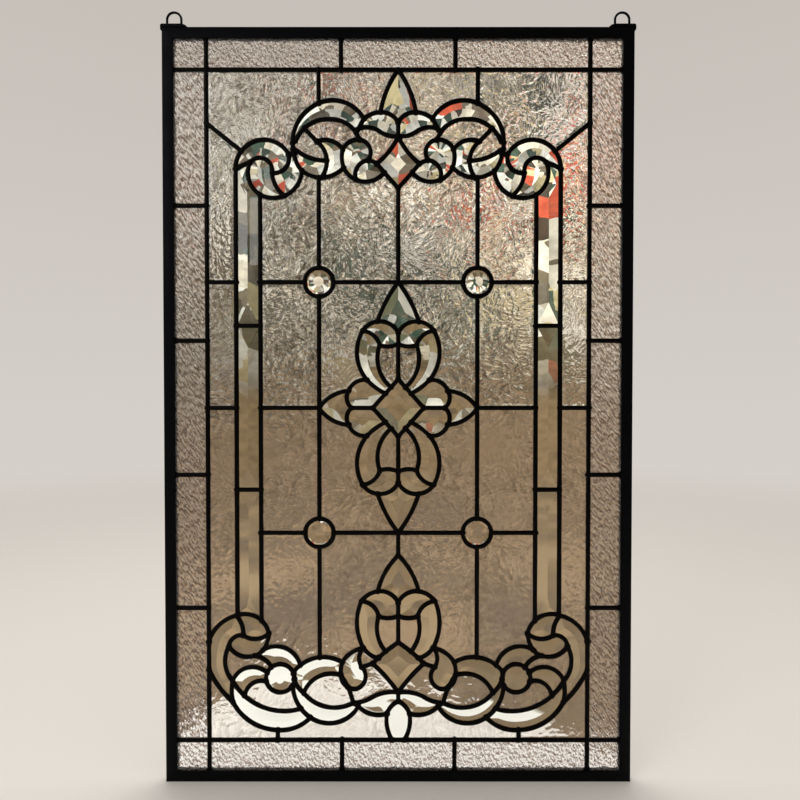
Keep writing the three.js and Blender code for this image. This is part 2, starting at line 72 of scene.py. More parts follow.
class PaneKind(Enum):
    """How the glass of a pane was made."""

    GRANITE = "granite"
    PULLED = "granite pulled along"
    FROST = "glue-chip"
    BEVEL = "bevel"
    STRIP = "long bevel"

    @property
    def slot(self) -> str:
        """The record's material slot."""
        if self in (PaneKind.GRANITE, PaneKind.PULLED):
            return "border_glass"
        return "frost_glass" if self is PaneKind.FROST else "bevel_glass"


class Axis(Enum):
    """Which way a line of the drawing is mirrored."""

    SIDES = (-1.0, 1.0)
    ENDS = (1.0, -1.0)


# The ornaments' drafts


@dataclass(frozen=True)
class Draft:
    """The drawing of one ornament, in millimetres, for the right side alone, as in the solid model.

    A stroke lists an end, a point midway on the arc from it, the next end, and so on. Two points are a
    straight line.

    Attributes:
        tip: The point on the centre line that falls on the ornament's far end.
        reach: The outermost point.
        outline: Strokes round the ornament.
        inner: Strokes inside it.
        textured: Points in the panes that are textured sheet and not bevels.
    """

    tip: Point
    reach: Point
    outline: Sequence[Stroke]
    inner: Sequence[Stroke]
    textured: Sequence[Point]


CROWN = Draft(
    tip=(0, -133),
    reach=(185, -111.5),
    outline=(
        ((0, 0), (13, -23), (20, -47.5), (30, -49.5), (39, -55)),
        ((39, -55), (68.5, -34.5), (97, -41), (116, -62.5), (118, -95)),
        ((118, -95), (124.5, -95)),
        ((124.5, -95), (158.5, -79), (185, -111.5)),
        ((185, -111.5), (176.5, -107), (168.5, -104)),
        ((168.5, -104), (170, -123), (158, -140), (130, -142), (109.5, -113.5)),
        ((109.5, -113.5), (99.5, -119), (88.5, -121.5), (74.5, -118.5), (62, -110), (41.5, -125.5),
         (16, -115.5)),
        ((16, -115.5), (0, -133)),
    ),
    inner=(
        ((124.5, -95), (128.5, -110.5), (143, -116)),
        ((168.5, -104), (155, -99), (143.5, -113), (140.5, -128), (130, -141.5)),
        ((118, -95), (115, -105.5), (109.5, -113.5)),
        ((117, -82), (100.5, -61), (77.5, -55.5), (57.5, -61), (44, -79)),
        ((106, -66.5), (92.5, -80.5)),
        ((92.5, -80.5), (82.5, -94.5), (87.5, -121)),
        ((117.5, -89), (101.5, -98.5), (82.5, -102)),
        ((92.5, -80.5), (76.5, -79.5), (63, -89.5), (64, -100), (62, -110)),
        ((63, -89.5), (54.5, -80.5), (43.5, -78.5), (32.5, -87), (34, -101.5)),
        ((34, -101.5), (45.5, -108), (48, -123.5)),
        ((34, -101.5), (29, -103), (24.5, -105.5), (20.5, -110), (16, -115.5)),
        ((0, -75), (9.5, -90.5), (24.5, -105.5)),
        ((20, -47.5), (9, -50), (0, -59)),
        ((39, -55), (48, -71)),
        ((46.5, -67), (34.5, -64.5), (22, -68.5), (12, -73.5), (0, -74.5)),
        ((0, -59), (0, -75)),
    ),
    textured=((77, -68), (103, -87), (22, -85)),
)
CROWN_SCROLL = (165, -102)

CENTRE = Draft(
    tip=(0, 144),
    reach=(90, 0),
    outline=(
        ((0, 144), (14.5, 121), (23.5, 99)),
        ((23.5, 99), (33.5, 95.5), (40.5, 88.5), (47, 65), (35.5, 32)),
        ((35.5, 32), (47.5, 30), (56.5, 19.5)),
        ((56.5, 19.5), (76, 13.5), (90, 0)),
    ),
    inner=(
        ((23.5, 99), (10, 96.5), (0, 86)),
        ((40.5, 88.5), (28.5, 83.5), (21, 72), (11, 70.5), (0, 73.5)),
        ((35.5, 32), (26, 23.5), (14.5, 16.5)),
        ((21, 72), (22.5, 47), (8, 23.5)),
        ((0, 33), (29, 0)),
        ((56.5, 19.5), (58.5, 9.5), (53, 0)),
        ((29, 0), (53, 0)),
        ((0, 86), (0, 33)),
    ),
    textured=((11, 50),),
)

BASE_FOOT = (139, 11.5)
BASE_ROUND = (136, 71.5)
BASE = Draft(
    tip=(0, 213.5),
    reach=(218, 113.5),
    outline=(
        ((0, 213.5), (15, 194), (23.5, 172)),
        ((23.5, 172), (34.5, 168), (42.5, 160.5), (47.5, 134.5), (40, 106.5)),
        ((40, 106.5), (55, 100.5), (64.5, 90)),
        ((64.5, 90), (88.5, 96), (113, 86.5)),
        ((113, 86.5), (133, 107.5), (156, 104)),
        ((156, 104), (151, 113), (149, 123.5), (161.5, 141.5), (186.5, 144), (206, 133.5), (218, 113.5)),
        ((218, 81), (208, 63.5), (190.5, 43.5)),
        ((190.5, 43.5), (170, 21), BASE_FOOT, (118.5, 14.5), (101.5, 26), (72.5, 20), (46, 39)),
        ((46, 39), (31, 30), (13, 30.5)),
        ((13, 30.5), (13, 16), (7, 0)),
    ),
    inner=(
        ((23.5, 172), (10, 169.5), (0, 159)),
        ((42.5, 160.5), (31, 156.5), (22.5, 143), (12, 141), (0, 143.5)),
        ((40, 106.5), (32, 98.5), (22, 94.5)),
        ((22.5, 143), (24, 123), (15, 103)),
        ((0, 159), (0, 113)),
        ((0, 113), (15, 102), (29.5, 88.5), (14.5, 73.5), (0, 55)),
        ((46, 39), (52, 43)),
        ((52, 43), (41.5, 44.5), (31, 49), (17.5, 54.5), (0, 55)),
        ((0, 55), (0, 45)),
        ((0, 45), (8.5, 38.5), (13, 30.5)),
        ((64.5, 90), (66, 83), (66, 75), (60, 62.5), (49.5, 59), (38.5, 68.5), (42, 84.5), (45, 94),
         (42, 104.5)),
        ((42, 84.5), (29.5, 88.5)),
        ((109, 54.5), (95.5, 71.5), (66, 75)),
        ((113, 86.5), (117.5, 82.5), (120.5, 78.5), (118, 65.5), (109, 54.5), (83, 38.5), (52, 43)),
        ((66, 75), (57.5, 60), (52, 43)),
        ((121.5, 62), (115, 40.5), (101.5, 26)),
        ((166, 97.5), (154.5, 93.5), (146, 84)),
        ((156, 104), (161, 99.5), (166, 97.5), (181.5, 97.5), (195, 108.5)),
        ((195, 108.5), (189.5, 118.5), (178.5, 121), (163.5, 117), (149, 123.5)),
        ((186.5, 144), (180, 133), (178.5, 121)),
        ((195, 108.5), (199.5, 89), (191, 68.5)),
        ((191, 68.5), (192, 56), (190.5, 43.5)),
        ((191, 68.5), (175, 83.5), (151, 78)),
        ((176.5, 52.5), (167.5, 66), (151.5, 67.5)),
        ((191, 68.5), (162.5, 41), (113, 36)),
    ),
    textured=((11, 125), (27, 65), (85, 57), (140, 48), (178, 88), (35, 93)),
)


# Plane geometry


def arc(start: np.ndarray, middle: np.ndarray, end: np.ndarray, step: float) -> np.ndarray:
    """Points on the circle through three points, centre + radius (cos t, sin t), from the first to the last.

    Args:
        start: The first point, in millimetres.
        middle: A point between the two ends.
        end: The last point.
        step: The longest stretch between two points.

    Returns:
        An array of points with both ends.
    """
    (ax, az), (mx, mz), (bx, bz) = start, middle, end
    twist = ax * (mz - bz) + mx * (bz - az) + bx * (az - mz)
    squares = (ax * ax + az * az, mx * mx + mz * mz, bx * bx + bz * bz)
    centre_x = (squares[0] * (mz - bz) + squares[1] * (bz - az) + squares[2] * (az - mz)) / (2 * twist)
    centre_z = (squares[0] * (bx - mx) + squares[1] * (ax - bx) + squares[2] * (mx - ax)) / (2 * twist)
    radius = math.hypot(ax - centre_x, az - centre_z)
    first = math.atan2(az - centre_z, ax - centre_x)
    gap = (math.atan2(bz - centre_z, bx - centre_x) - first) % (2 * math.pi)
    sweep = gap if twist > 0 else gap - 2 * math.pi
    count = max(2, math.ceil(abs(sweep) * radius / step)) + 1
    turn = first + np.linspace(0, sweep, count)
    points = np.stack([centre_x + radius * np.cos(turn), centre_z + radius * np.sin(turn)], axis=1)
    points[0], points[-1] = start, end
    return points


def circle(centre: Point, radius: float, sides: int) -> np.ndarray:
    """A closed ring, centre + radius (sin t, cos t), whose last point is its first.

    Args:
        centre: The middle, in millimetres.
        radius: The radius.
        sides: The number of stretches.

    Returns:
        An array of sides + 1 points.
    """
    turn = np.linspace(0, 2 * math.pi, sides + 1)
    points = np.array(centre) + radius * np.stack([np.sin(turn), np.cos(turn)], axis=1)
    points[-1] = points[0]
    return points


def drawn_stroke(stroke: Stroke, place: Callable[[Point], Point], step: float) -> np.ndarray:
    """A stroke of a draft as a line of points at its place on the panel.

    Args:
        stroke: The draft's points.
        place: Takes a draft point to the panel.
        step: The longest stretch on an arc, in millimetres.

    Returns:
        An array of points.
    """
    points = [np.array(place(point), float) for point in stroke]
    if len(points) == 2:
        return np.array(points)
    arcs = [arc(points[i], points[i + 1], points[i + 2], step) for i in range(0, len(points) - 2, 2)]
    return np.concatenate([arcs[0]] + [more[1:] for more in arcs[1:]])


def mirrored(lines: Iterable[np.ndarray], *axes: Axis) -> list[np.ndarray]:
    """The lines with their mirror images about the given axes.

    Args:
        lines: Arrays of points.
        axes: The mirrors, applied one after the other.

    Returns:
        Twice as many lines for each mirror.
    """
    result = list(lines)
    for axis in axes:
        result += [line * np.array(axis.value) for line in result]
    return result


def segments_of(lines: Iterable[np.ndarray]) -> tuple[np.ndarray, np.ndarray]:
    """The two ends of every stretch of some lines."""
    lines = list(lines)
    return np.concatenate([line[:-1] for line in lines]), np.concatenate([line[1:] for line in lines])


def sides_of(loops: Iterable[np.ndarray]) -> tuple[np.ndarray, np.ndarray]:
    """The two ends of every side of some closed loops."""
    return segments_of([np.vstack([loop, loop[:1]]) for loop in loops])


def unit(ways: np.ndarray) -> np.ndarray:
    """Ways in the plane, shape (n, 2), at a length of one."""
    return ways / np.maximum(np.hypot(*ways.T), NONE_MM)[:, None]


def left_of(ways: np.ndarray) -> np.ndarray:
    """Ways in the plane turned a quarter to the left: (x, z) becomes (-z, x)."""
    return np.stack([-ways[:, 1], ways[:, 0]], axis=1)


def nearest_on(points: np.ndarray, starts: np.ndarray, ends: np.ndarray) -> tuple[np.ndarray, np.ndarray]:
    """The nearest place on a set of stretches: start + clamp((p - start).way / way.way, 0, 1) way.

    Args:
        points: Points, shape (n, 2).
        starts: Where the stretches start, shape (m, 2).
        ends: Where they end.

    Returns:
        The distance of each point, and the nearest place to it.
    """
    way = ends - starts
    length = np.maximum((way ** 2).sum(1), 1e-12)
    found = np.empty_like(points)
    distance = np.empty(len(points))
    chunk = max(1, 4_000_000 // len(starts))
    for low in range(0, len(points), chunk):
        part = points[low:low + chunk, None]
        share = np.clip(((part - starts) * way).sum(2) / length, 0, 1)
        places = starts + share[..., None] * way
        gaps = ((part - places) ** 2).sum(2)
        best = gaps.argmin(1)
        rows = np.arange(len(best))
        found[low:low + chunk] = places[rows, best]
        distance[low:low + chunk] = np.sqrt(gaps[rows, best])
    return distance, found


def meeting(lines: Iterable[np.ndarray], start: Point, end: Point) -> np.ndarray:
    """Where the way from one point to another first meets a line, from start + s way = a + t (b - a).

    Args:
        lines: Arrays of points.
        start: Where the way starts.
        end: Where it ends if it meets nothing.

    Returns:
        The first meeting point.
    """
    first, last = segments_of(lines)
    start, end = np.array(start, float), np.array(end, float)
    way, side = end - start, last - first
    across = way[0] * side[:, 1] - way[1] * side[:, 0]
    across = np.where(np.abs(across) < NONE_MM, np.nan, across)
    gap = first - start
    share = (gap[:, 0] * side[:, 1] - gap[:, 1] * side[:, 0]) / across
    along = (gap[:, 0] * way[1] - gap[:, 1] * way[0]) / across
    good = (share > 1e-6) & (share < 1) & (along >= 0) & (along <= 1)
    return start + way * (share[good].min() if good.any() else 1.0)


def reached(lines: Iterable[np.ndarray], x: float, start: float, end: float) -> float:
    """The height at which the upright way at x, from a start to an end, first meets a line."""
    return meeting(lines, (x, start), (x, end))[1]


def upright(x: float, low: float, high: float) -> np.ndarray:
    """An upright line of two points."""
    return np.array([[x, low], [x, high]], float)


def level(z: float, start: float, end: float) -> np.ndarray:
    """A level line of two points."""
    return np.array([[start, z], [end, z]], float)


def inside(points: np.ndarray, loops: Sequence[np.ndarray], chunk: int = 20000) -> np.ndarray:
    """Whether points lie within closed loops: a ray to the right crosses an odd number of their sides.

    Args:
        points: Points, shape (n, 2).
        loops: Closed loops, whose last point isn't the first one again.
        chunk: How many points are looked at together.

    Returns:
        A mask, shape (n,).
    """
    crossed = np.zeros(len(points), int)
    for loop in loops:
        start, end = loop, np.roll(loop, -1, axis=0)
        rise = end[:, 1] - start[:, 1]
        rise = np.where(rise == 0, 1e-30, rise)
        for low in range(0, len(points), chunk):
            x, z = points[low:low + chunk, 0:1], points[low:low + chunk, 1:2]
            between = (start[:, 1] > z) != (end[:, 1] > z)
            at = start[:, 0] + (z - start[:, 1]) * (end[:, 0] - start[:, 0]) / rise
            crossed[low:low + chunk] += (between & (x < at)).sum(1)
    return crossed % 2 == 1


def divided(starts: np.ndarray, ends: np.ndarray, step: float) -> np.ndarray:
    """Points that divide stretches evenly in parts no longer than a step, with each start but no end."""
    counts = np.maximum(1, np.ceil(np.hypot(*(ends - starts).T) / step)).astype(int)
    return np.concatenate([a + (b - a) * np.arange(n)[:, None] / n for a, b, n in zip(starts, ends, counts)])


def coarsened(loop: np.ndarray, step: float, corner_deg: float = 24.0) -> np.ndarray:
    """A closed loop drawn again with even stretches between its corners.

    Args:
        loop: The loop.
        step: About how long each stretch is.
        corner_deg: A bend sharper than this is a corner, and stays.

    Returns:
        The new loop.
    """
    way = np.roll(loop, -1, axis=0) - loop
    bearing = np.arctan2(way[:, 1], way[:, 0])
    bend = np.abs((bearing - np.roll(bearing, 1) + math.pi) % (2 * math.pi) - math.pi)
    corners = np.flatnonzero(bend > math.radians(corner_deg))
    if len(corners) == 0:
        corners = np.array([0])
    loop = np.roll(loop, -corners[0], axis=0)
    corners = np.append(corners - corners[0], len(loop))
    closed = np.vstack([loop, loop[:1]])
    run = np.concatenate([[0], np.cumsum(np.hypot(*np.diff(closed, axis=0).T))])
    parts = []
    for first, last in zip(corners[:-1], corners[1:]):
        count = max(1, round((run[last] - run[first]) / step))
        along = np.linspace(run[first], run[last], count + 1)[:-1]
        parts.append(np.stack([np.interp(along, run, closed[:, side]) for side in (0, 1)], axis=1))
    return np.concatenate(parts)


def inward(loop: np.ndarray) -> np.ndarray:
    """Unit normals that point to the left of a loop's way, the mean of the two stretches at each point."""
    way = unit(np.roll(loop, -1, axis=0) - loop)
    return left_of(unit(way + np.roll(way, 1, axis=0)))


def triangulated(
    points: np.ndarray, edges: Sequence[tuple[int, int]], near: float,
) -> tuple[np.ndarray, np.ndarray, list[tuple[int, int]]]:
    """A triangulation that keeps the given edges.

    Args:
        points: Points, shape (n, 2).
        edges: Pairs of point numbers.
        near: Points closer than this become one.

    Returns:
        The points, the triangles, and the edges that lie on given ones, as sorted pairs.
    """
    result = delaunay_2d_cdt([Vector(point) for point in points], list(edges), [], 0, near)
    kept = [tuple(sorted(edge)) for edge, given in zip(result[1], result[4]) if given]
    return np.array([tuple(point) for point in result[0]]), np.array(result[2]), kept


def doubled_areas(points: np.ndarray, triangles: np.ndarray) -> np.ndarray:
    """Twice the area of each triangle, above 0 where its corners run anticlockwise."""
    corners = points[triangles]
    return np.cross(corners[:, 1] - corners[:, 0], corners[:, 2] - corners[:, 0])


def triangle_sides(triangles: np.ndarray) -> np.ndarray:
    """The sides of triangles as pairs of point numbers: all first sides, then the second and third ones."""
    return np.concatenate([triangles[:, [0, 1]], triangles[:, [1, 2]], triangles[:, [2, 0]]])


def side_keys(sides: np.ndarray, count: int) -> np.ndarray:
    """A number for each side that is the same in both directions, for sides between so many points."""
    return np.sort(sides, axis=1) @ np.array([count, 1])


# Scattered values


def scattered(i: np.ndarray, j: np.ndarray, seed: float) -> np.ndarray:
    """A value from 0 to 1 for each pair of whole numbers i and j.

    It is the fraction of |43758.5453 sin(127.1 i + 311.7 j + 74.7 seed)|.
    """
    return np.abs(np.sin(127.1 * i + 311.7 * j + 74.7 * seed) * 43758.5453) % 1.0


def nearest_seed(u: np.ndarray, v: np.ndarray, seed: float) -> tuple[np.ndarray, np.ndarray]:
    """The unit square of the nearest seed, where each square has one seed.

    Args:
        u: First coordinates.
        v: Second coordinates.
        seed: Names the scatter.

    Returns:
        The square's two whole numbers for each place.
    """
    near = np.full(u.shape, np.inf)
    square_i, square_j = np.zeros_like(u), np.zeros_like(u)
    for step_i in (-1, 0, 1):
        for step_j in (-1, 0, 1):
            i, j = np.floor(u) + step_i, np.floor(v) + step_j
            away = np.hypot(u - i - scattered(i, j, seed), v - j - scattered(i, j, seed + 1))
            closer = away < near
            square_i, square_j = np.where(closer, i, square_i), np.where(closer, j, square_j)
            near = np.where(closer, away, near)
    return square_i, square_j


def value_noise(u: np.ndarray, v: np.ndarray, seed: float) -> np.ndarray:
    """Smooth noise from 0 to 1: values at whole numbers, blended by 3 t^2 - 2 t^3 between them."""
    i, j = np.floor(u), np.floor(v)
    s, t = u - i, v - j
    s, t = s * s * (3 - 2 * s), t * t * (3 - 2 * t)
    low = scattered(i, j, seed) * (1 - s) + scattered(i + 1, j, seed) * s
    high = scattered(i, j + 1, seed) * (1 - s) + scattered(i + 1, j + 1, seed) * s
    return low * (1 - t) + high * t


# Meshes


def new_piece(
    name: str,
    vertices: np.ndarray,
    faces: Sequence[Sequence[int]],
    material: bpy.types.Material,
    nodes: Sequence[str] = (),
    crease_deg: float = 35.0,
    shade: np.ndarray | None = None,
) -> bpy.types.Object:
    """An object of the panel, made from points in millimetres about the panel's centre.

    Args:
        name: The piece's name.
        vertices: Points, shape (n, 3).
        faces: Corner numbers of each face.
        material: The finish.
        nodes: The solids that it stands for.
        crease_deg: Edges that bend by more than this stay sharp.
        shade: A value for each point, which the finish may read.

    Returns:
        The object, which rides on the panel's body.
    """
    mesh = bpy.data.meshes.new(name)
    places = np.asarray(vertices) * MM + PLACE
    mesh.from_pydata(places.tolist(), [], [list(map(int, face)) for face in faces])
    mesh.shade_smooth()
    mesh.set_sharp_from_angle(angle=math.radians(crease_deg))
    if shade is not None:
        mesh.attributes.new(SHADE, "FLOAT", "POINT").data.foreach_set("value", np.asarray(shade, np.float32))
    mesh.materials.append(material)
    piece = bpy.data.objects.new(name, mesh)
    bpy.context.scene.collection.objects.link(piece)
    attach(piece, BODY)
    if nodes:
        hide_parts(*nodes)
    return piece


def tube_faces(rings: int, sides: int, closed: bool) -> list[tuple[int, ...]]:
    """Faces of a tube of rings, with its two ends closed unless it comes back to its start.

    Args:
        rings: The number of rings.
        sides: Points on each ring.
        closed: Whether the last ring is followed by the first.

    Returns:
        Quads, and the end faces of an open tube.
    """
    ring = np.arange(rings if closed else rings - 1)[:, None]
    side = np.arange(sides)[None]
    after, beside = (ring + 1) % rings, (side + 1) % sides
    first, onward = ring * sides, after * sides
    corners = np.stack([first + side, first + beside, onward + beside, onward + side], -1)
    faces = [tuple(face) for face in corners.reshape(-1, 4)]
    if not closed:
        faces.append(tuple(range(sides - 1, -1, -1)))
        faces.append(tuple(range((rings - 1) * sides, rings * sides)))
    return faces


def ring_points(x: np.ndarray, depth: np.ndarray, z: np.ndarray) -> np.ndarray:
    """The points of rings in order, from X and Z of shape (rings, sides) and a depth for each side."""
    return np.stack([x, np.broadcast_to(depth, x.shape), z], -1).reshape(-1, 3)


def turned_over(faces: Iterable[Sequence[int]]) -> list[tuple[int, ...]]:
    """Faces with their corners in the other order, so that they face the other way."""
    return [tuple(reversed(face)) for face in faces]


@dataclass
class Shell:
    """Points and faces gathered from several closed shapes."""

    points: list[np.ndarray] = field(default_factory=list)
    faces: list[tuple[int, ...]] = field(default_factory=list)
    count: int = 0

    def add(self, points: np.ndarray, faces: Iterable[Sequence[int]]) -> None:
        """Adds a shape.

        Args:
            points: Its points, shape (n, 3).
            faces: Its faces, numbered from its own first point.
        """
        self.faces += [tuple(corner + self.count for corner in face) for face in faces]
        self.points.append(np.asarray(points, float))
        self.count += len(points)

    def all_points(self) -> np.ndarray:
        """All the points in one array."""
        return np.concatenate(self.points)


# Finishes


def srgb(code: str, alpha: float = 1.0) -> tuple[float, float, float, float]:
    """A colour of sRGB hex digits as linear values.

    Args:
        code: Six hex digits after a hash.
        alpha: The alpha to add.

    Returns:
        Linear red, green and blue, and alpha.
    """
    parts = [int(code[i:i + 2], 16) / 255 for i in (1, 3, 5)]
    linear = [part / 12.92 if part <= 0.04045 else ((part + 0.055) / 1.055) ** 2.4 for part in parts]
    return (*linear, alpha)


def add_node(
    tree: bpy.types.NodeTree,
    kind: str,
    settings: dict | None = None,
    inputs: dict | None = None,
    stops: Sequence[tuple[float, str]] = (),
) -> bpy.types.Node:
    """Adds a shader node.

    Args:
        tree: The node tree.
        kind: The node's type.
        settings: Attributes to set.
        inputs: For each input, by name or number, a value or the output that feeds it.
        stops: Positions and sRGB colours of a colour ramp.

    Returns:
        The node.
    """
    node = tree.nodes.new(kind)
    for name, value in (settings or {}).items():
        setattr(node, name, value)
    for name, value in (inputs or {}).items():
        if isinstance(value, bpy.types.NodeSocket):
            tree.links.new(value, node.inputs[name])
        else:
            node.inputs[name].default_value = value
    for number, (position, code) in enumerate(stops):
        elements = node.color_ramp.elements
        element = elements[number] if number < 2 else elements.new(position)
        element.position, element.color = position, srgb(code)
    return node


def new_tree(owner: bpy.types.Material | bpy.types.World) -> Tree:
    """The emptied node tree of a material or of the world."""
    owner.use_nodes = True
    owner.node_tree.nodes.clear()
    return owner.node_tree


def here(tree: Tree) -> Socket:
    """The place on the object, in metres."""
    return add_node(tree, "ShaderNodeTexCoord").outputs["Object"]


def worked(tree: Tree, operation: str, *values: Feed, clamp: bool = False) -> Socket:
    """The result of arithmetic on up to three values."""
    settings = {"operation": operation, "use_clamp": clamp}
    return add_node(tree, "ShaderNodeMath", settings, dict(enumerate(values))).outputs["Value"]


def ranged(tree: Tree, value: Feed, start: float, end: float, low: float = 0.0, high: float = 1.0) -> Socket:
    """A value's share of the way from start to end, kept within 0 and 1, as a value from low to high."""
    return add_node(tree, "ShaderNodeMapRange", inputs={
        "Value": value, "From Min": start, "From Max": end, "To Min": low, "To Max": high}).outputs["Result"]


def blended(tree: Tree, share: Feed, first: Feed, second: Feed) -> Socket:
    """A colour between two others: first + share (second - first)."""
    return add_node(tree, "ShaderNodeMix", {"data_type": "RGBA"}, {
        "Factor": share, "A": first, "B": second}).outputs["Result"]


def ramped(tree: Tree, share: Feed, *stops: tuple[float, str], stepped: bool = False) -> Socket:
    """The colour of a ramp at a share of its length, in even blends or in steps."""
    ramp = add_node(tree, "ShaderNodeValToRGB", inputs={"Fac": share}, stops=stops)
    ramp.color_ramp.interpolation = "CONSTANT" if stepped else "LINEAR"
    return ramp.outputs["Color"]


def noise(
    tree: Tree, place: Feed, scale: float, detail: float, roughness: float = 0.5, distortion: float = 0.0,
) -> Socket:
    """Smooth noise about 0.5 at a place."""
    return add_node(tree, "ShaderNodeTexNoise", inputs={
        "Vector": place, "Scale": scale, "Detail": detail,
        "Roughness": roughness, "Distortion": distortion}).outputs["Fac"]


def embossed(
    tree: Tree, place: Socket, step: tuple[float, float, float], detail: float, distortion: float,
) -> tuple[Socket, Socket]:
    """A grain n and its fall over a short step, n(p) - n(p + step), which parts its light and dark sides.

    Args:
        tree: The node tree.
        place: The place p, scaled so that the grain has a size of one.
        step: The step.
        detail: How many finer grains are added.
        distortion: How far the grain is bent.

    Returns:
        The grain and its fall.
    """
    moved = add_node(tree, "ShaderNodeVectorMath", {"operation": "ADD"}, {0: place, 1: step})
    grain, beside = [noise(tree, at, 1.0, detail, 0.5, distortion) for at in (place, moved.outputs["Vector"])]
    return grain, worked(tree, "SUBTRACT", grain, beside)


def bumped(tree: Tree, height: Feed, distance: float, strength: float = 1.0) -> Socket:
    """Normals tilted by the slope of a height times a distance in metres."""
    return add_node(tree, "ShaderNodeBump", inputs={
        "Height": height, "Distance": distance, "Strength": strength}).outputs["Normal"]


def end_surface(tree: Tree, **inputs: Feed) -> None:
    """Ends a finish with its shader and output. The shader's inputs are given with _ for each space."""
    shader = add_node(tree, "ShaderNodeBsdfPrincipled", inputs={
        name.replace("_", " "): value for name, value in inputs.items()})
    add_node(tree, "ShaderNodeOutputMaterial", inputs={"Surface": shader.outputs["BSDF"]})


@dataclass(frozen=True)
class BlackedMetal:
    """Lead, zinc or solder blackened with patina and waxed: near black, with a sheen that varies by hand."""

    name: str
    dark: str
    light: str
    roughness: tuple[float, float]
    mottle_mm: float = 14.0
    scuff_mm: float = 1.6
    scuff_height_mm: float = 0.05
    scuff_strength: float = 0.6
    metallic: float = 0.92

    def material(self) -> bpy.types.Material:
        """The finish as a material."""
        result = bpy.data.materials.new(self.name)
        tree = new_tree(result)
        where = here(tree)
        mottle = noise(tree, where, 1 / (self.mottle_mm * MM), 5.0, 0.6)
        scuff = noise(tree, where, 1 / (self.scuff_mm * MM), 3.0)
        end_surface(
            tree,
            Base_Color=blended(tree, mottle, srgb(self.dark), srgb(self.light)),
            Roughness=ranged(tree, mottle, 0.3, 0.7, *self.roughness),
            Normal=bumped(tree, scuff, self.scuff_height_mm * MM, self.scuff_strength),
            Metallic=self.metallic,
        )
        return result


@dataclass(frozen=True)
class GraniteGlass:
    """Granite-textured rolled glass: the hot sheet took up a close pebbled grain, which the roller drew out.

    Each pebble is a small lens, so the pane sparkles with light and dark specks of whatever is behind it. The
    colour paints such specks as well: painted shade on one side of each pebble and a painted highlight on the
    other.
    """

    name: str
    slant: float
    across_mm: float
    along_mm: float
    height_mm: float = 1.7
    # Painted shade on one side of each pebble, a white painted highlight on the other, and the fall at which
    # the shade is full
    pebble_shade_colour: str = "#86705e"
    crest: str = "#ffffff"
    full_shade_fall: float = -0.12
    clear: float = 0.9
    ior: float = 1.52
    roughness: float = 0.05

    def material(self) -> bpy.types.Material:
        """The finish as a material."""
        result = bpy.data.materials.new(self.name)
        tree = new_tree(result)
        turned = add_node(tree, "ShaderNodeVectorRotate", {"rotation_type": "Y_AXIS"}, {
            "Vector": here(tree), "Angle": self.slant})
        across, along = 1 / (self.across_mm * MM), 1 / (self.along_mm * MM)
        drawn = add_node(tree, "ShaderNodeMapping", inputs={
            "Vector": turned.outputs["Vector"], "Scale": (across, across, along)})
        pebble, fall = embossed(tree, drawn.outputs["Vector"], (0.3, 0.0, 0.3), 1.5, 0.4)
        # Painted light and shade: the share of the painted highlight at each place, by the grain's fall over
        # the step
        pebble_light_share = ranged(tree, fall, self.full_shade_fall, 0.0)
        end_surface(
            tree,
            Base_Color=blended(tree, pebble_light_share, srgb(self.pebble_shade_colour), srgb(self.crest)),
            Roughness=self.roughness,
            IOR=self.ior,
            Transmission_Weight=self.clear,
            Normal=bumped(tree, pebble, self.height_mm * MM),
        )
        return result


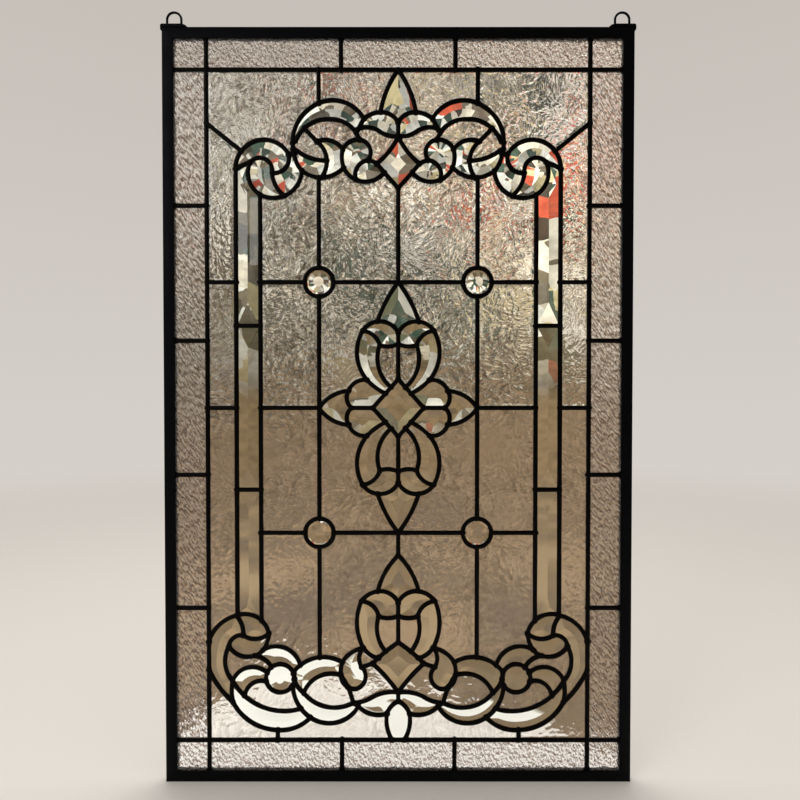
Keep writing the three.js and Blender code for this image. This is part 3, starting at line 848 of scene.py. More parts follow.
@dataclass(frozen=True)
class GlueChipGlass:
    """Glue-chip glass: hide glue dried on the sheet and tore curved flakes from it, which left frosty fans.

    The flakes themselves are in the mesh. The nodes add the fine ribs that cross each of them, and paint
    light and shade on each place, from the painted shade colour to the painted highlight colour by
    (rib gain fall + shade) depth + middle share. The flakes' painted light and shade comes with the mesh.
    """

    name: str = "glue_chip_glass"
    # Painted shade and painted highlight, between which the colour runs
    flake_shade_colour: str = "#736756"
    face: str = "#fffdf8"
    clear: float = 0.96
    ior: float = 1.52
    roughness: float = 0.03
    fan_mm: float = 24.0
    rib_mm: tuple[float, float] = (8.0, 2.8)
    # How strongly the ribs' fall paints light and shade, and the painted light's share where nothing slopes
    rib_light_gain: float = 1.7
    middle_light_share: float = 0.85
    height_mm: float = 1.0
    patch_mm: float = 70.0
    weakest: float = 0.3
    shallowest: float = 0.4
    deep_from_mm: float = -640.0
    deep_to_mm: float = -300.0

    def material(self) -> bpy.types.Material:
        """The finish as a material."""
        result = bpy.data.materials.new(self.name)
        tree = new_tree(result)
        where = here(tree)
        fan = add_node(tree, "ShaderNodeTexVoronoi", inputs={
            "Vector": where, "Scale": 1 / (self.fan_mm * MM)})
        pick = add_node(tree, "ShaderNodeSeparateColor", inputs={"Color": fan.outputs["Color"]})
        # Each fan's ribs run their own way, about the fan's own middle
        turned = add_node(tree, "ShaderNodeVectorRotate", {"rotation_type": "Y_AXIS"}, {
            "Vector": where, "Center": fan.outputs["Position"],
            "Angle": worked(tree, "MULTIPLY", pick.outputs["Red"], 2 * math.pi)})
        along, across = 1 / (self.rib_mm[0] * MM), 1 / (self.rib_mm[1] * MM)
        drawn = add_node(tree, "ShaderNodeMapping", inputs={
            "Vector": turned.outputs["Vector"], "Scale": (along, across, across)})
        rib, fall = embossed(tree, drawn.outputs["Vector"], (0.08, 0.0, 0.3), 1.0, 0.3)
        # The glue pulled harder in some places than in others
        pull = noise(tree, where, 1 / (self.patch_mm * MM), 1.0)
        force = ranged(tree, pull, 0.4, 0.58, self.weakest, 1.0)
        # The sheets in the upper part are chipped deeper than the lower ones
        place = add_node(tree, "ShaderNodeSeparateXYZ", inputs={"Vector": where})
        deep = ranged(
            tree, place.outputs["Z"], self.deep_from_mm * MM, self.deep_to_mm * MM, self.shallowest, 1.0)
        depth = worked(tree, "MULTIPLY", force, deep)
        # Painted light and shade: the ribs' fall and the flakes' painted shade, scaled by the depth, about
        # the middle share
        shade = add_node(tree, "ShaderNodeAttribute", {"attribute_name": SHADE}).outputs["Fac"]
        steep = worked(tree, "MULTIPLY_ADD", fall, self.rib_light_gain, shade)
        flake_light_share = worked(tree, "MULTIPLY_ADD", steep, depth, self.middle_light_share, clamp=True)
        end_surface(
            tree,
            Base_Color=blended(tree, flake_light_share, srgb(self.flake_shade_colour), srgb(self.face)),
            Roughness=self.roughness,
            IOR=self.ior,
            Transmission_Weight=self.clear,
            Normal=bumped(tree, worked(tree, "MULTIPLY", rib, depth), self.height_mm * MM),
        )
        return result


@dataclass(frozen=True)
class PolishedGlass:
    """Clear plate glass, ground and polished: sharp facets, with the faintest waviness left by the wheel."""

    name: str
    colour: str
    ior: float
    wave_mm: float = 9.0
    wave_height_mm: float = 0.02

    def material(self) -> bpy.types.Material:
        """The finish as a material."""
        result = bpy.data.materials.new(self.name)
        tree = new_tree(result)
        wave = noise(tree, here(tree), 1 / (self.wave_mm * MM), 1.0)
        end_surface(
            tree,
            Base_Color=srgb(self.colour),
            Roughness=0.0,
            IOR=self.ior,
            Transmission_Weight=1.0,
            Normal=bumped(tree, wave, self.wave_height_mm * MM),
        )
        return result


# The panel's sizes, in millimetres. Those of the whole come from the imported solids.


def outer_sizes() -> tuple[float, float, np.ndarray]:
    """The panel's width and height without its loops, and the place of its centre in metres."""
    low_left, high_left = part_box("frame_left")
    _, high_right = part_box("frame_right")
    width = (high_right.x - low_left.x) / MM
    height = (high_left.z - low_left.z) / MM
    centre = np.array([(high_right.x + low_left.x) / 2, 0.0, (high_left.z + low_left.z) / 2])
    return width, height, centre


PANEL_WIDTH, PANEL_HEIGHT, PLACE = outer_sizes()


@dataclass(frozen=True)
class Sizes:
    """Driving sizes of the panel, in millimetres."""

    half_width: float = PANEL_WIDTH / 2
    half_height: float = PANEL_HEIGHT / 2
    rail_face: float = 12.7
    rail_wall: float = 1.2
    rail_half_depth: float = 4.3
    rail_edge: float = 0.7
    glass_edge: float = 2.2
    came_half: float = 2.6
    came_heart: float = 0.7
    came_leaf: float = 1.55
    came_crown: float = 1.25
    sheet: float = 3.0
    bevel_edge: float = 1.05
    bevel_top: float = 3.6
    bevel_reach: float = 10.2
    strip_reach: float = 12.7
    pane_inset: float = 1.2
    border_side: float = 49.2
    border_end: float = 46.8
    border_segments: int = 5
    border_end_joint: float = 65.0
    strip_outer: float = 82.2
    strip_inner: float = 110.0
    strip_joint: float = 94.0
    column_spacing: float = 181.0
    crown_gap: float = 107.0
    base_gap: float = 26.0
    brace_drop: float = 60.0
    jewel: float = 27.0
    jewel_glass: float = 7.0
    clearance: float = 0.3

    @property
    def border_x(self) -> float:
        """The border line's distance from the centre."""
        return self.half_width - self.border_side

    @property
    def border_z(self) -> float:
        """The border line's height above the centre."""
        return self.half_height - self.border_end

    @property
    def third_z(self) -> float:
        """The height of the third lines above the centre."""
        return self.half_height / 3

    @property
    def column_x(self) -> float:
        """The columns' distance from the centre."""
        return self.column_spacing / 2

    @property
    def ring(self) -> float:
        """The radius of the came round a jewel."""
        return self.jewel / 2 + self.came_half + self.clearance


SIZES = Sizes()


# The drawing


@dataclass
class Drawing:
    """All the came lines of the panel, and the panes between them, in millimetres about the centre.

    Attributes:
        sizes: The panel's sizes.
        arc_step: The longest stretch on an arc.
        snap: The farthest that a line's end is moved to meet another line.
        overrun: How far past that line it then ends.
        ring_sides: The number of stretches in a jewel's ring.
        least_pane: A place of less than this area, in square millimetres, is no pane.
        lines: The came lines.
        textured: Points in the ornaments' textured panes.
        joints: Where three or more lines meet.
        panes: The loops of each pane.
    """

    sizes: Sizes
    arc_step: float = 1.7
    snap: float = 3.5
    overrun: float = 0.05
    ring_sides: int = 44
    least_pane: float = 30.0
    lines: list[np.ndarray] = field(default_factory=list)
    textured: list[np.ndarray] = field(default_factory=list)
    joints: np.ndarray = field(default_factory=lambda: np.zeros((0, 2)))
    panes: list[list[np.ndarray]] = field(default_factory=list)

    def crown_place(self, point: Point) -> Point:
        """A point of the crown's draft on the panel."""
        height = self.sizes.border_z - self.sizes.third_z - self.sizes.crown_gap
        width = self.sizes.half_width - self.sizes.strip_outer
        return point[0] * width / CROWN.reach[0], self.sizes.border_z - point[1] * height / CROWN.tip[1]

    def centre_place(self, point: Point) -> Point:
        """A point of the centre's draft on the panel."""
        return point[0] * self.sizes.column_x / CENTRE.reach[0], point[1] * self.sizes.third_z / CENTRE.tip[1]

    def base_place(self, point: Point) -> Point:
        """A point of the base's draft on the panel."""
        height = self.sizes.border_z - self.sizes.third_z - self.sizes.base_gap
        x = point[0] * self.sizes.border_x / BASE.reach[0]
        return x, point[1] * height / BASE.tip[1] - self.sizes.border_z

    def ornament(self, draft: Draft, place: Callable[[Point], Point], *axes: Axis) -> list[np.ndarray]:
        """Draws an ornament and notes its textured panes.

        Args:
            draft: The ornament.
            place: Takes its points to the panel.
            axes: How it is mirrored.

        Returns:
            The lines of its outline.
        """
        outline = mirrored([drawn_stroke(stroke, place, self.arc_step) for stroke in draft.outline], *axes)
        inner = mirrored([drawn_stroke(stroke, place, self.arc_step) for stroke in draft.inner], *axes)
        # A line along a mirror is its own image, so the image is left out
        inner = [line for i, line in enumerate(inner) if not any(
            line.shape == other.shape and np.allclose(line, other) for other in inner[:i])]
        self.lines += outline + inner
        self.textured += mirrored([np.array([place(point)]) for point in draft.textured], *axes)
        return outline

    def grid(self, crown: list[np.ndarray], base: list[np.ndarray]) -> None:
        """Draws the straight lines and the jewels' rings.

        Args:
            crown: The crown's outline, which lines end at.
            base: The base's outline.
        """
        s = self.sizes
        wide, high = s.half_width - s.glass_edge, s.half_height - s.glass_edge
        strip_outer, strip_inner = s.half_width - s.strip_outer, s.half_width - s.strip_inner
        column, third, ring = s.column_x, s.third_z, s.ring
        low, top = -s.border_z, s.border_z
        brace_top = (s.border_x, s.border_z - s.brace_drop)
        foot = self.base_place(BASE_FOOT)
        joints = np.arange(1, s.border_segments) * 2 * s.border_z / s.border_segments - s.border_z
        sides = [
            upright(s.border_x, -high, high),
            *[level(z, s.border_x, wide) for z in joints],
            upright(strip_outer, reached(base, strip_outer, 0, low), self.crown_place(CROWN.reach)[1]),
            upright(strip_inner, reached(base, strip_inner, 0, low), reached(crown, strip_inner, 0, top)),
            level(third, strip_outer, s.border_x),
            level(0, strip_outer, s.border_x),
            level(0, column, strip_inner),
            upright(column, reached(crown, column, top, 0), top),
            upright(column, third + ring, reached(crown, column, 0, top)),
            upright(column, ring - third, third - ring),
            upright(column, reached(base, column, 0, low), -third - ring),
            np.array([brace_top, meeting(crown, brace_top, self.crown_place(CROWN_SCROLL))]),
            upright(foot[0], -s.border_z, foot[1]),
            circle(self.base_place(BASE_ROUND), ring, self.ring_sides),
        ]
        quarters = [
            upright(s.border_end_joint, s.border_z, high),
            level(s.strip_joint, strip_inner, strip_outer),
            level(third, column + ring, strip_inner),
            level(third, 0, column - ring),
            circle((column, third), ring, self.ring_sides),
        ]
        whole = [
            level(s.border_z, -wide, wide),
            level(-s.border_z, -wide, wide),
            upright(0, third, self.crown_place(CROWN.tip)[1]),
            upright(0, self.base_place(BASE.tip)[1], -third),
        ]
        self.lines += mirrored(sides, Axis.SIDES) + mirrored(quarters, Axis.SIDES, Axis.ENDS) + whole

    def meet(self) -> None:
        """Moves each line's loose end to the nearest other line and a little past it, so that they join."""
        edge_x = self.sizes.half_width - self.sizes.glass_edge
        edge_z = self.sizes.half_height - self.sizes.glass_edge
        for number, line in enumerate(self.lines):
            others = self.lines[:number] + self.lines[number + 1:]
            starts, ends = segments_of(others)
            for at, back in ((0, 1), (-1, -2)):
                end = line[at]
                at_edge = abs(abs(end[0]) - edge_x) < 0.01 or abs(abs(end[1]) - edge_z) < 0.01
                if at_edge or np.allclose(line[0], line[-1]):
                    continue
                gap, place = nearest_on(end[None], starts, ends)
                if gap[0] < 1e-6 or gap[0] > self.snap:
                    continue
                way = place[0] - line[back]
                line[at] = place[0] + way / max(np.hypot(*way), NONE_MM) * self.overrun

    def divide(self) -> None:
        """Finds the joints and the panes: regions of a triangulation that no came line crosses."""
        s = self.sizes
        wide, high = s.half_width - s.glass_edge, s.half_height - s.glass_edge
        edge = np.array([[-wide, -high], [wide, -high], [wide, high], [-wide, high], [-wide, -high]])
        lines = self.lines + [edge]
        counts = np.array([len(line) for line in lines])
        firsts = np.concatenate([[0], np.cumsum(counts)[:-1]])
        edges = [(first + i, first + i + 1) for first, count in zip(firsts, counts) for i in range(count - 1)]
        points, triangles, kept = triangulated(np.concatenate(lines), edges, 1e-3)
        flip = doubled_areas(points, triangles) < 0
        triangles[flip] = triangles[flip][:, ::-1]
        meets = np.bincount(np.array(kept).ravel(), minlength=len(points))
        reach = np.array([s.half_width - s.rail_face, s.half_height - s.rail_face])
        self.joints = np.clip(points[meets >= 3], -reach, reach)

        # Each side of each triangle, and whether the triangle across it lies in the same pane
        sides = triangle_sides(triangles)
        owner = np.tile(np.arange(len(triangles)), 3)
        key = side_keys(sides, len(points))
        walls = side_keys(np.array(kept), len(points))
        order = np.argsort(key, kind="stable")
        twin = key[order][:-1] == key[order][1:]
        first, second = order[:-1][twin], order[1:][twin]
        opened = ~np.isin(key[first], walls)
        left, right = owner[first[opened]], owner[second[opened]]
        # Neighbours in a pane take the lowest number among them, until nothing changes
        pane = np.arange(len(triangles))
        while True:
            before = pane.copy()
            lowest = np.minimum(pane[left], pane[right])
            np.minimum.at(pane, left, lowest)
            np.minimum.at(pane, right, lowest)
            pane = pane[pane]
            if (pane == before).all():
                break
        partner = np.full(len(sides), -1)
        partner[first], partner[second] = owner[second], owner[first]
        outer = (partner < 0) | (pane[owner] != pane[np.maximum(partner, 0)])
        area = doubled_areas(points, triangles) / 2
        for number in np.unique(pane):
            if area[pane == number].sum() < self.least_pane:
                continue
            rim = sides[outer & (pane[owner] == number)]
            self.panes.append(self.loops(points, rim))

    @staticmethod
    def loops(points: np.ndarray, rim: np.ndarray) -> list[np.ndarray]:
        """The closed loops that a pane's outer sides make, each on the pane's left.

        Args:
            points: All points.
            rim: Pairs of point numbers, each side from its start to its end.

        Returns:
            One array of points for each loop, the outer one first.
        """
        after: dict[int, list[int]] = {}
        for start, end in rim:
            after.setdefault(int(start), []).append(int(end))
        loops = []
        while after:
            start = next(iter(after))
            chain, at = [start], after[start].pop()
            if not after[start]:
                del after[start]
            while at != start:
                chain.append(at)
                onward = after[at].pop()
                if not after[at]:
                    del after[at]
                at = onward
            loops.append(points[chain])
        return sorted(loops, key=lambda loop: -np.ptp(loop[:, 0]) * np.ptp(loop[:, 1]))

    def build(self) -> None:
        """Draws all lines and finds the panes."""
        crown = self.ornament(CROWN, self.crown_place, Axis.SIDES)
        self.ornament(CENTRE, self.centre_place, Axis.SIDES, Axis.ENDS)
        base = self.ornament(BASE, self.base_place, Axis.SIDES)
        self.grid(crown, base)
        self.meet()
        self.divide()


# Glass


def tucked(loops: Sequence[np.ndarray], inset: float, step: float) -> list[np.ndarray]:
    """A pane's loops moved inward, so that the glass ends inside the came's channel.

    Args:
        loops: The loops along the middle of the came.
        inset: How far they move.
        step: The longest stretch of the result.

    Returns:
        The loops of the glass.
    """
    fine = [divided(loop, np.roll(loop, -1, axis=0), step) for loop in loops]
    starts, ends = sides_of(fine)
    result = []
    for loop in fine:
        moved = loop + inward(loop) * inset
        distance, _ = nearest_on(moved, starts, ends)
        # In a sharp corner moved points come too near to the other side, and are left out
        moved = moved[distance > 0.96 * inset]
        if len(moved) > 5:
            result.append(moved)
    return result


def pane_shell(points: np.ndarray, triangles: np.ndarray, front: np.ndarray, back: float) -> Solid:
    """Closes a pane: a front face of given depths, a flat back and the rim between them.

    Args:
        points: The face's points in X and Z, shape (n, 2).
        triangles: Its triangles, anticlockwise as seen from the front.
        front: The front's depth at each point.
        back: The back's depth.

    Returns:
        Points in three dimensions, and triangles that face outwards.
    """
    count = len(points)
    fore = np.stack([points[:, 0], front, points[:, 1]], axis=1)
    rear = np.stack([points[:, 0], np.full(count, back), points[:, 1]], axis=1)
    sides = triangle_sides(triangles)
    _, where, seen = np.unique(side_keys(sides, count), return_index=True, return_counts=True)
    rim = sides[where[seen == 1]]
    walls = np.concatenate([
        np.stack([rim[:, 1], rim[:, 0], rim[:, 0] + count], axis=1),
        np.stack([rim[:, 1], rim[:, 0] + count, rim[:, 1] + count], axis=1),
    ])
    return np.concatenate([fore, rear]), np.concatenate([triangles, triangles[:, ::-1] + count, walls])


def faced(
    points: np.ndarray, edges: Sequence[tuple[int, int]], loops: Sequence[np.ndarray], near: float,
) -> tuple[np.ndarray, np.ndarray]:
    """The triangles of a face that lie within its loops, anticlockwise, with the points that they use.

    Args:
        points: Points of the face.
        edges: Edges that it keeps.
        loops: Its loops.
        near: Points closer than this become one.

    Returns:
        The points and the triangles.
    """
    points, triangles, _ = triangulated(points, edges, near)
    triangles = triangles[inside(points[triangles].mean(axis=1), loops)]
    flip = doubled_areas(points, triangles) < 0
    triangles[flip] = triangles[flip][:, ::-1]
    used = np.unique(triangles)
    number = np.zeros(len(points), int)
    number[used] = np.arange(len(used))
    return points[used], number[triangles]


def loop_edges(loops: Sequence[np.ndarray]) -> list[tuple[int, int]]:
    """The sides of closed loops, numbered as if the loops were one array."""
    edges = []
    first = 0
    for loop in loops:
        edges += [(first + i, first + (i + 1) % len(loop)) for i in range(len(loop))]
        first += len(loop)
    return edges


def ball_radius(points: np.ndarray, normals: np.ndarray, cap: float) -> np.ndarray:
    """How far a bevel runs in from each point of a rim before it meets another one.

    It is the radius of the largest circle that touches the rim at the point and holds no other point q of it:
    the least |q - p|^2 / (2 n.(q - p)).

    Args:
        points: Points of the rim.
        normals: Inward normals.
        cap: The bevel's full width.

    Returns:
        The distance for each point, at most the cap.
    """
    way = points[None] - points[:, None]
    ahead = (way * normals[:, None]).sum(2)
    square = (way ** 2).sum(2)
    facing = ahead > 1e-3 * np.sqrt(square) + NONE_MM
    radius = np.where(facing, square / np.maximum(2 * ahead, NONE_MM), np.inf)
    return np.minimum(radius.min(1), cap)


def bevelled_pane(loops: Sequence[np.ndarray], reach: float, facet: float) -> Solid:
    """A bevelled piece, whose front rises with the distance d from its rim: edge + rise min(d / reach, 1).

    So its facets meet in mitres and ridges, and a wide piece keeps a flat middle.

    Args:
        loops: The glass's loops.
        reach: The bevel's full width.
        facet: The length of a facet on a curved rim.

    Returns:
        Points and triangles of the closed piece.
    """
    loops = [coarsened(loop, facet) for loop in loops]
    rim = np.concatenate(loops)
    normals = np.concatenate([inward(loop) for loop in loops])
    run = ball_radius(rim, normals, reach)
    crest = rim + normals * run[:, None]
    count = len(rim)
    sides = loop_edges(loops)
    # Edges between facets, and along the ridge or the flat middle's rim where its points lie close enough
    spokes = [(i, i + count) for i in range(count) if run[i] > 0.4]
    chain = [(a + count, b + count) for a, b in sides if np.hypot(*(crest[a] - crest[b])) < 2.5 * facet]
    points, triangles = faced(np.concatenate([rim, crest]), sides + spokes + chain, loops, 0.04)
    distance, _ = nearest_on(points, *sides_of(loops))
    rise = SIZES.bevel_top - SIZES.bevel_edge
    front = -(SIZES.bevel_edge + rise * np.minimum(distance / reach, 1.0))
    return pane_shell(points, triangles, front, SIZES.sheet / 2)


def textured_pane(
    loops: Sequence[np.ndarray],
    spacing: float,
    relief: Callable[[np.ndarray, np.ndarray], np.ndarray],
    plain_rim: float = 1.0,
    fade: float = 2.5,
) -> Solid:
    """A sheet with relief on its front, which fades out under the came.

    Args:
        loops: The glass's loops.
        spacing: The distance between the face's points.
        relief: The height at given places, in millimetres.
        plain_rim: How far in from the rim the relief starts.
        fade: How much farther in it has its full height.

    Returns:
        Points and triangles of the closed piece.
    """
    rim = np.concatenate(loops)
    low, high = rim.min(0), rim.max(0)
    # Rows of even triangles, half the root of 3 apart
    rows = np.arange(low[1], high[1], spacing * 0.866)
    across = np.arange(low[0], high[0], spacing)
    grid = np.stack(np.meshgrid(across, rows), -1)
    grid[1::2, :, 0] += spacing / 2
    grid = grid.reshape(-1, 2)
    grid = grid[inside(grid, loops)]
    starts, ends = sides_of(loops)
    distance, _ = nearest_on(grid, starts, ends)
    # A point nearer to the rim than this would make slivers
    grid = grid[distance > spacing * 0.6]
    points, triangles = faced(np.concatenate([rim, grid]), loop_edges(loops), loops, 1e-3)
    distance, _ = nearest_on(points, starts, ends)
    share = np.clip((distance - plain_rim) / fade, 0, 1)
    front = -SIZES.sheet / 2 - share * relief(points[:, 0], points[:, 1])
    return pane_shell(points, triangles, front, SIZES.sheet / 2)


def granite_relief(x: np.ndarray, z: np.ndarray) -> np.ndarray:
    """Low pebbles: 0.3 noise at 3.6 mm plus 0.2 noise at 8 mm."""
    return 0.3 * value_noise(x / 3.6, z / 3.6, 3.0) + 0.2 * value_noise(x / 8, z / 8, 5.0)


# How the glue tore the sheet: the width of a fan, the flakes round it, the length of a flake, how far and
# over what length the fans are bent, and the length over which they come and go
FAN_MM = 38
FLAKES_ROUND = 26
FLAKE_MM = 10
BEND_MM = 7
BEND_LENGTH_MM = 17
PATCH_MM = 60
# Half the way over which a flake's slope is taken, along X and along Z, and the whole of it
SLOPE_HALF_MM = 0.85
SLOPE_MM = 2.4


def flakes_at(x: np.ndarray, z: np.ndarray) -> tuple[np.ndarray, ...]:
    """The torn flakes, which lie in fans.

    With r and t the distance and bearing from a fan's middle, its flakes are the cells of
    (FLAKES_ROUND t / 2 pi, r / FLAKE_MM), each fan's numbered from a start of its own.

    Returns:
        The way (du, dv) from each place's flake seed, the flake's two numbers, and the strength of its fan.
    """
    bend_x, bend_z = x / BEND_LENGTH_MM, z / BEND_LENGTH_MM
    warp_x = x + BEND_MM * (value_noise(bend_x, bend_z, 31.0) - 0.5)
    warp_z = z + BEND_MM * (value_noise(bend_x, bend_z, 37.0) - 0.5)
    i, j = nearest_seed(warp_x / FAN_MM, warp_z / FAN_MM, 11.0)
    away_x = warp_x - FAN_MM * (i + scattered(i, j, 11.0))
    away_z = warp_z - FAN_MM * (j + scattered(i, j, 12.0))
    u = FLAKES_ROUND * np.arctan2(away_z, away_x) / (2 * math.pi) + 40 * scattered(i, j, 17.0)
    v = np.hypot(away_x, away_z) / FLAKE_MM + 60 * scattered(i, j, 19.0)
    p, q = nearest_seed(u, v, 23.0)
    strength = np.clip(0.2 + 1.3 * value_noise(x / PATCH_MM, z / PATCH_MM, 43.0), 0, 1)
    return u - p - scattered(p, q, 23.0), v - q - scattered(p, q, 24.0), p, q, strength


def flake_relief(x: np.ndarray, z: np.ndarray) -> np.ndarray:
    """The flakes' relief in millimetres: 0.35 + strength (shell + tilt), kept from 0 to 1.15.

    Each flake is a shallow shell, 0.45 (1 - (d / 0.8)^2), tilted its own way by a du + b dv.
    """
    du, dv, p, q, strength = flakes_at(x, z)
    shell = 0.45 * np.clip(1 - (du ** 2 + dv ** 2) / 0.64, 0, 1)
    tilt = 1.1 * (scattered(p, q, 29.0) - 0.5) * du + 1.6 * (scattered(p, q, 41.0) - 0.5) * dv
    return np.clip(0.35 + strength * (shell + tilt), 0, 1.15)


def flake_shade(x: np.ndarray, z: np.ndarray) -> np.ndarray:
    """Painted light and shade: how much lighter each place of the flakes is than the sheet, from -0.9 to 0.6.

    It is 1.8 g - 0.6 |g'| + c. Here g and g' are the slopes of the relief along the way down and to the right
    and across it, painted as light and as shade, and c is the flake's own painted reflection, since each
    flake turns to another part of the surround.
    """
    h = SLOPE_HALF_MM
    along = (flake_relief(x + h, z - h) - flake_relief(x - h, z + h)) / SLOPE_MM
    across = (flake_relief(x + h, z + h) - flake_relief(x - h, z - h)) / SLOPE_MM
    _, _, p, q, strength = flakes_at(x, z)
    # A painted reflection: each flake shows a tone of its own of the surround
    tone = strength * (0.9 * scattered(p, q, 53.0) - 0.55)
    return np.clip(1.8 * along - 0.6 * np.abs(across) + tone, -0.9, 0.6)


@dataclass
class Glazing:
    """Every pane of the panel.

    Attributes:
        drawing: The drawing, with its panes found.
        materials: The finish of each kind of pane.
        sheet_spacing: The distance between the relief's points on a large sheet.
        border_spacing: That on the border's panes.
        small_spacing: That on a pane whose box has less than small_area.
        small_area: In square millimetres.
        rim_step: The longest stretch of a pane's rim.
        facet: The length of a bevel's facet on a curved rim.
        strip_facet: That of a strip.
        smooth_deg: Edges of relief that bend by less than this are smooth.
        ground_deg: The same for the ground facets of a bevel.
    """

    drawing: Drawing
    materials: dict[PaneKind, bpy.types.Material]
    sheet_spacing: float = 1.7
    border_spacing: float = 1.5
    small_spacing: float = 1.3
    small_area: float = 2500.0
    rim_step: float = 1.7
    facet: float = 4.2
    strip_facet: float = 24.0
    smooth_deg: float = 35.0
    ground_deg: float = 2.0

    def seeds(self) -> dict[str, Point]:
        """A point in each sheet or strip of the grid's right half, by its solid's name without the side."""
        s = self.drawing.sizes
        near = 4 * s.came_half
        third, column = s.third_z, s.column_x
        strip = s.half_width - (s.strip_inner + s.strip_outer) / 2
        side = (s.border_x + s.half_width - s.strip_outer) / 2
        outer = (s.half_width - s.strip_inner + column) / 2
        return {
            "strip_upper": (strip, s.strip_joint + near),
            "strip_middle": (strip, 0.0),
            "strip_lower": (strip, -s.strip_joint - near),
            "side_upper": (side, third + near),
            "side_middle": (side, third / 2),
            "side_lower": (side, -third / 2),
            "top_outer": (s.border_x - near, s.border_z - near),
            "top_inner": (column - near, s.border_z - near),
            "field_outer_1": (outer, third + near),
            "field_outer_2": (outer, third / 2),
            "field_outer_3": (outer, -third / 2),
            "field_outer_4": (outer, -third - near),
            "field_inner_1": (column / 2, third + near),
            "field_inner_2": (column - near, third / 2),
            "field_inner_3": (column - near, -third / 2),
            "field_inner_4": (column / 2, -third - near),
            "bottom_outer": (s.border_x - near, near - s.border_z),
            "bottom_inner": (column - near, near - s.border_z),
        }

    def border_node(self, middle: np.ndarray) -> str:
        """The solid that a pane of the border belongs to, by the pane's middle."""
        s = self.drawing.sizes
        side = "left" if middle[0] < 0 else "right"
        end = "top" if middle[1] > 0 else "bottom"
        if abs(middle[1]) < s.border_z:
            return f"border_{side}"
        return f"corner_{end}_{side}" if abs(middle[0]) > s.border_x else f"border_{end}"

    def classify(self, loops: list[np.ndarray]) -> tuple[str, PaneKind, str] | None:
        """Names a pane.

        Args:
            loops: The pane's loops.

        Returns:
            The name, the kind and the solid that it stands for, or None for a jewel's place.
        """
        s = self.drawing.sizes
        middle = (loops[0].min(0) + loops[0].max(0)) / 2
        if abs(middle[0]) > s.border_x or abs(middle[1]) > s.border_z:
            node = self.border_node(middle)
            kind = PaneKind.PULLED if node in ("border_left", "border_right") else PaneKind.GRANITE
            return node, kind, node
        for name, (x, z) in self.seeds().items():
            for side, sign in (("left", -1), ("right", 1)):
                if inside(np.array([[sign * x, z]]), loops)[0]:
                    kind = PaneKind.STRIP if name.startswith("strip") else PaneKind.FROST
                    return f"{name}_{side}", kind, f"{name}_{side}"
        at_jewel = np.hypot(abs(middle[0]) - s.column_x, abs(middle[1]) - s.third_z)
        if at_jewel < 2:
            return None
        kind = PaneKind.BEVEL
        if any(inside(point, loops)[0] for point in self.drawing.textured):
            kind = PaneKind.FROST
        part = "centre" if abs(middle[1]) < s.third_z else ("crown" if middle[1] > 0 else "base")
        return part, kind, f"{part}_bevels"

    def build(self) -> None:
        """Makes all the panes."""
        counts: dict[str, int] = {}
        for loops in self.drawing.panes:
            found = self.classify(loops)
            if found is None:
                continue
            name, kind, node = found
            glass = tucked(loops, SIZES.pane_inset, self.rim_step)
            if not glass:
                continue
            crease, shade = self.smooth_deg, None
            if kind is PaneKind.BEVEL:
                points, faces = bevelled_pane(glass, SIZES.bevel_reach, self.facet)
                crease = self.ground_deg
            elif kind is PaneKind.STRIP:
                points, faces = bevelled_pane(glass, SIZES.strip_reach, self.strip_facet)
                crease = self.ground_deg
            elif kind in (PaneKind.GRANITE, PaneKind.PULLED):
                points, faces = textured_pane(glass, self.border_spacing, granite_relief)
            else:
                large = np.prod(np.ptp(glass[0], axis=0)) > self.small_area
                spacing = self.sheet_spacing if large else self.small_spacing
                points, faces = textured_pane(glass, spacing, flake_relief)
                shade = flake_shade(points[:, 0], points[:, 2])
            counts[name] = counts.get(name, 0) + 1
            title = f"pane_{name}_{counts[name]}"
            new_piece(title, points, faces, self.materials[kind], (node,), crease, shade)
            LOG.info("%s: %d triangles", title, len(faces))


@dataclass
class Jewels:
    """The four round faceted jewels.

    Attributes:
        sizes: The panel's sizes.
        material: The finish.
        sides: The number of facets in a row.
        girdle: The depth at which the upright side ends.
        shoulder: The share of the radius and the depth of the ring between the two rows of facets.
        table: The flat front's share of the radius.
    """

    sizes: Sizes
    material: bpy.types.Material
    sides: int = 16
    girdle: float = -1.6
    shoulder: tuple[float, float] = (0.86, -3.7)
    table: float = 0.42

    def shape(self) -> Solid:
        """A jewel about its own centre: rings at radius r and depth y, the third one turned half a step.

        Returns:
            Points and faces.
        """
        radius = self.sizes.jewel / 2 + self.sizes.clearance
        back = self.sizes.sheet / 2
        front = back - self.sizes.jewel_glass
        share, shoulder_y = self.shoulder
        rings = (
            (radius, back, 0.0),
            (radius, self.girdle, 0.0),
            (radius * share, shoulder_y, 0.5),
            (radius * self.table, front, 0.0),
        )
        n = self.sides
        step = 2 * math.pi / n
        turn = -np.arange(n) * step
        points = [
            np.stack([r * np.sin(turn - shift * step), np.full(n, y), r * np.cos(turn - shift * step)], 1)
            for r, y, shift in rings
        ]
        pairs = [(a, (a + 1) % n) for a in range(n)]
        faces = [(a, b, b + n, a + n) for a, b in pairs]
        faces += [(a + n, b + n, a + 2 * n) for a, b in pairs]
        faces += [(b + n, b + 2 * n, a + 2 * n) for a, b in pairs]
        faces += [(a + 2 * n, b + 2 * n, b + 3 * n) for a, b in pairs]
        faces += [(a + 2 * n, b + 3 * n, a + 3 * n) for a, b in pairs]
        faces += [tuple(range(n - 1, -1, -1)), tuple(range(3 * n, 4 * n))]
        return np.concatenate(points), faces

    def build(self) -> None:
        """Makes the four jewels."""
        points, faces = self.shape()
        for row, z in (("upper", self.sizes.third_z), ("lower", -self.sizes.third_z)):
            for side, x in (("left", -self.sizes.column_x), ("right", self.sizes.column_x)):
                name = f"jewel_{row}_{side}"
                new_piece(f"faceted_{name}", points + np.array([x, 0, z]), faces, self.material,
                          (name,), 1.0)
        LOG.info("four jewels of %d faces", len(faces))


# Metal


